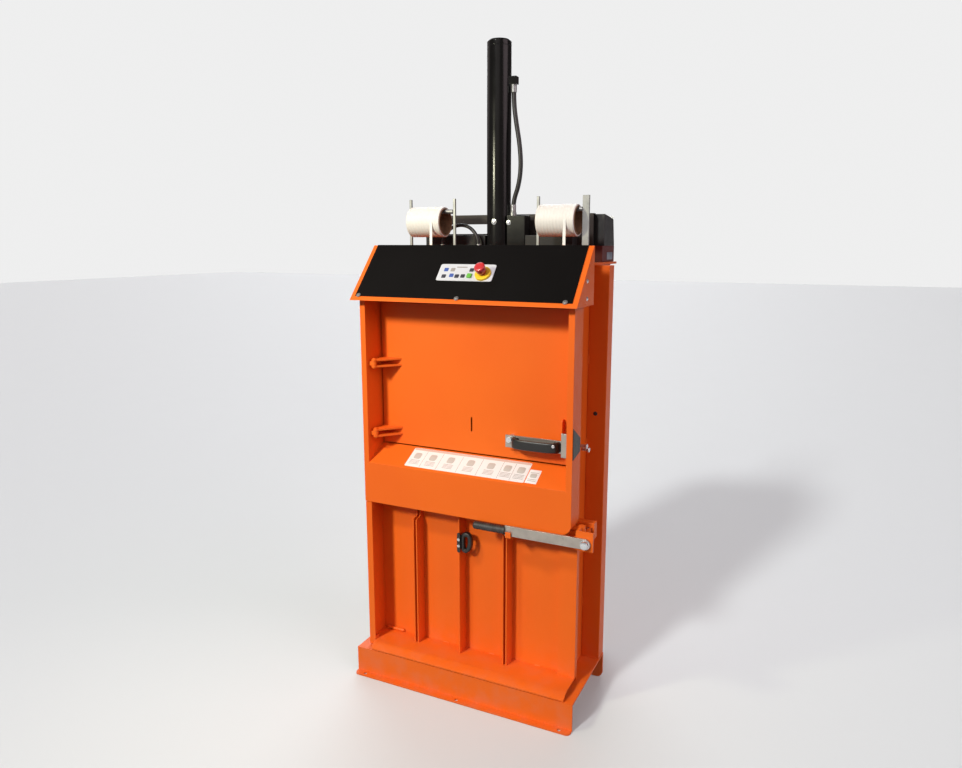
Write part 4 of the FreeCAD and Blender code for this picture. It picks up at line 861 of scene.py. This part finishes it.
def eased(node, width, material):
    """A copy of a CAD part with its doubles merged, its flats joined and its edges rounded by width."""
    mesh = frame["nodes"][node].data.copy()
    mesh.name = f"{node}_eased"
    work = bmesh.new()
    work.from_mesh(mesh)
    bmesh.ops.remove_doubles(work, verts=work.verts, dist=CAD_SAME_POINT)
    bmesh.ops.dissolve_limit(work, angle_limit=FLAT_WITHIN, verts=work.verts, edges=work.edges)
    work.to_mesh(mesh)
    work.free()
    mesh.shade_smooth()
    mesh.materials.clear()
    mesh.materials.append(material)
    made = bpy.data.objects.new(f"{node}_eased", mesh)
    bpy.context.scene.collection.objects.link(made)
    bevel = made.modifiers.new("fold", "BEVEL")
    bevel.width = width * MM
    bevel.segments = 2
    bevel.limit_method = "ANGLE"
    bevel.angle_limit = FOLD_OVER
    flats = made.modifiers.new("flats", "WEIGHTED_NORMAL")
    flats.mode = "FACE_AREA"
    flats.weight = 100
    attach(made, BODY_OF[node])
    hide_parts(node)


for material, widths in EASED:
    for node, width in widths.items():
        eased(node, width, material)
print(sum(len(widths) for _, widths in EASED), "parts eased")

# %% [markdown]
# ## Finishes on the parts that stay
# A part whose CAD shape is already right only needs its finish.

# %% Finish the CAD parts that stay
KEPT = {"bale_hinge_pins": GREY_STEEL, "latch_stud": BRIGHT_ZINC, "piston_rod": CHROME,
        "hose_fittings": GREY_STEEL}
for node, material in KEPT.items():
    mesh = frame["nodes"][node].data
    mesh.materials.clear()
    mesh.materials.append(material)

# %% [markdown]
# ## Light and floor
# A small lamp left of the front, above head height, makes the top left brightest. A hard far light from
# the same side makes the hood and the ribs throw shadows down and to the right. Soft daylight fills the
# rest from four sides, so every side can be looked at and the floor is even. The floor and surroundings
# are plain and pale.

# %% Light and floor
def put_light(light, power, colour, place, aim):
    """One light at a place, facing a point."""
    light.energy = power
    light.color = colour
    made = bpy.data.objects.new(light.name, light)
    made.location = place
    way = np.array(aim, float) - np.array(place, float)
    flat = math.hypot(way[0], way[1])
    made.rotation_euler = (math.atan2(flat, -way[2]), 0, math.atan2(way[1], way[0]) - math.pi / 2)
    bpy.context.scene.collection.objects.link(made)


def lamp(name, place, aim, size, power, colour):
    """A round lamp, size across in metres."""
    light = bpy.data.lights.new(name, "AREA")
    light.shape = "DISK"
    light.size = size
    put_light(light, power, colour, place, aim)


def daylight(name, way_from, power, colour, spread=50):
    """Light from a part of the sky, spread degrees wide and the same strength everywhere."""
    light = bpy.data.lights.new(name, "SUN")
    light.angle = math.radians(spread)
    put_light(light, power, colour, way_from, (0, 0, 0))


MIDDLE = np.mean(BOUNDS_AT_START, axis=0)
lamp("key", (-0.65, -1.04, 2.01), MIDDLE - (0, 0, 0.15), 0.16, 13, (1.0, 0.98, 0.72))
daylight("flash", (-0.75, -2.6, 1.7), 2.15, (1.0, 0.99, 0.97), 7)
daylight("front", (0.6, -4.2, 2.4), 0.32, (1.0, 0.92, 0.90))
daylight("right", (3.6, -0.4, 1.9), 1.15, (1.0, 0.80, 0.84))
daylight("rear", (-1.8, 3.8, 2.8), 1.5, (0.94, 0.97, 1.0))
daylight("left", (-3.6, 0.6, 2.2), 0.30, (1.0, 0.88, 0.86))

ROOM_LIGHT, ROOM_SEEN = rgb(0.13, 0.11, 0.11), rgb(0.86, 0.86, 0.86)
world = bpy.data.worlds.new("pale_room")
world.use_nodes = True
room = world.node_tree.nodes["Background"]
sight = world.node_tree.nodes.new("ShaderNodeLightPath")
shade = world.node_tree.nodes.new("ShaderNodeMix")
shade.data_type = "RGBA"
shade.inputs[MIX_FIRST].default_value = ROOM_LIGHT
shade.inputs[MIX_SECOND].default_value = ROOM_SEEN
world.node_tree.links.new(sight.outputs["Is Camera Ray"], shade.inputs["Factor"])
world.node_tree.links.new(shade.outputs[MIX_RESULT], room.inputs["Color"])
bpy.context.scene.world = world
bpy.context.scene.view_settings.view_transform = "Standard"

floor_paint = Paint("pale_floor")
floor_material = floor_paint.finish(rgb(0.59, 0.63, 0.64), floor_paint.noise(3.0) * 0.1 + 0.6,
                                    **{"Emission Color": rgb(1.0, 1.0, 1.0), "Emission Strength": 0.10})
FLOOR_HALF = 30.0
FLOOR_GAP = 0.0005
FLOOR_LEVEL = BOUNDS_AT_START[0][2] - FLOOR_GAP
floor_mesh = bpy.data.meshes.new("floor")
floor_corners = [(x * FLOOR_HALF, y * FLOOR_HALF, FLOOR_LEVEL)
                 for x, y in ((-1, -1), (1, -1), (1, 1), (-1, 1))]
floor_mesh.from_pydata(floor_corners, [], [(0, 1, 2, 3)])
floor_mesh.materials.append(floor_material)
floor = bpy.data.objects.new("floor", floor_mesh)
bpy.context.scene.collection.objects.link(floor)
floor.visible_diffuse = False
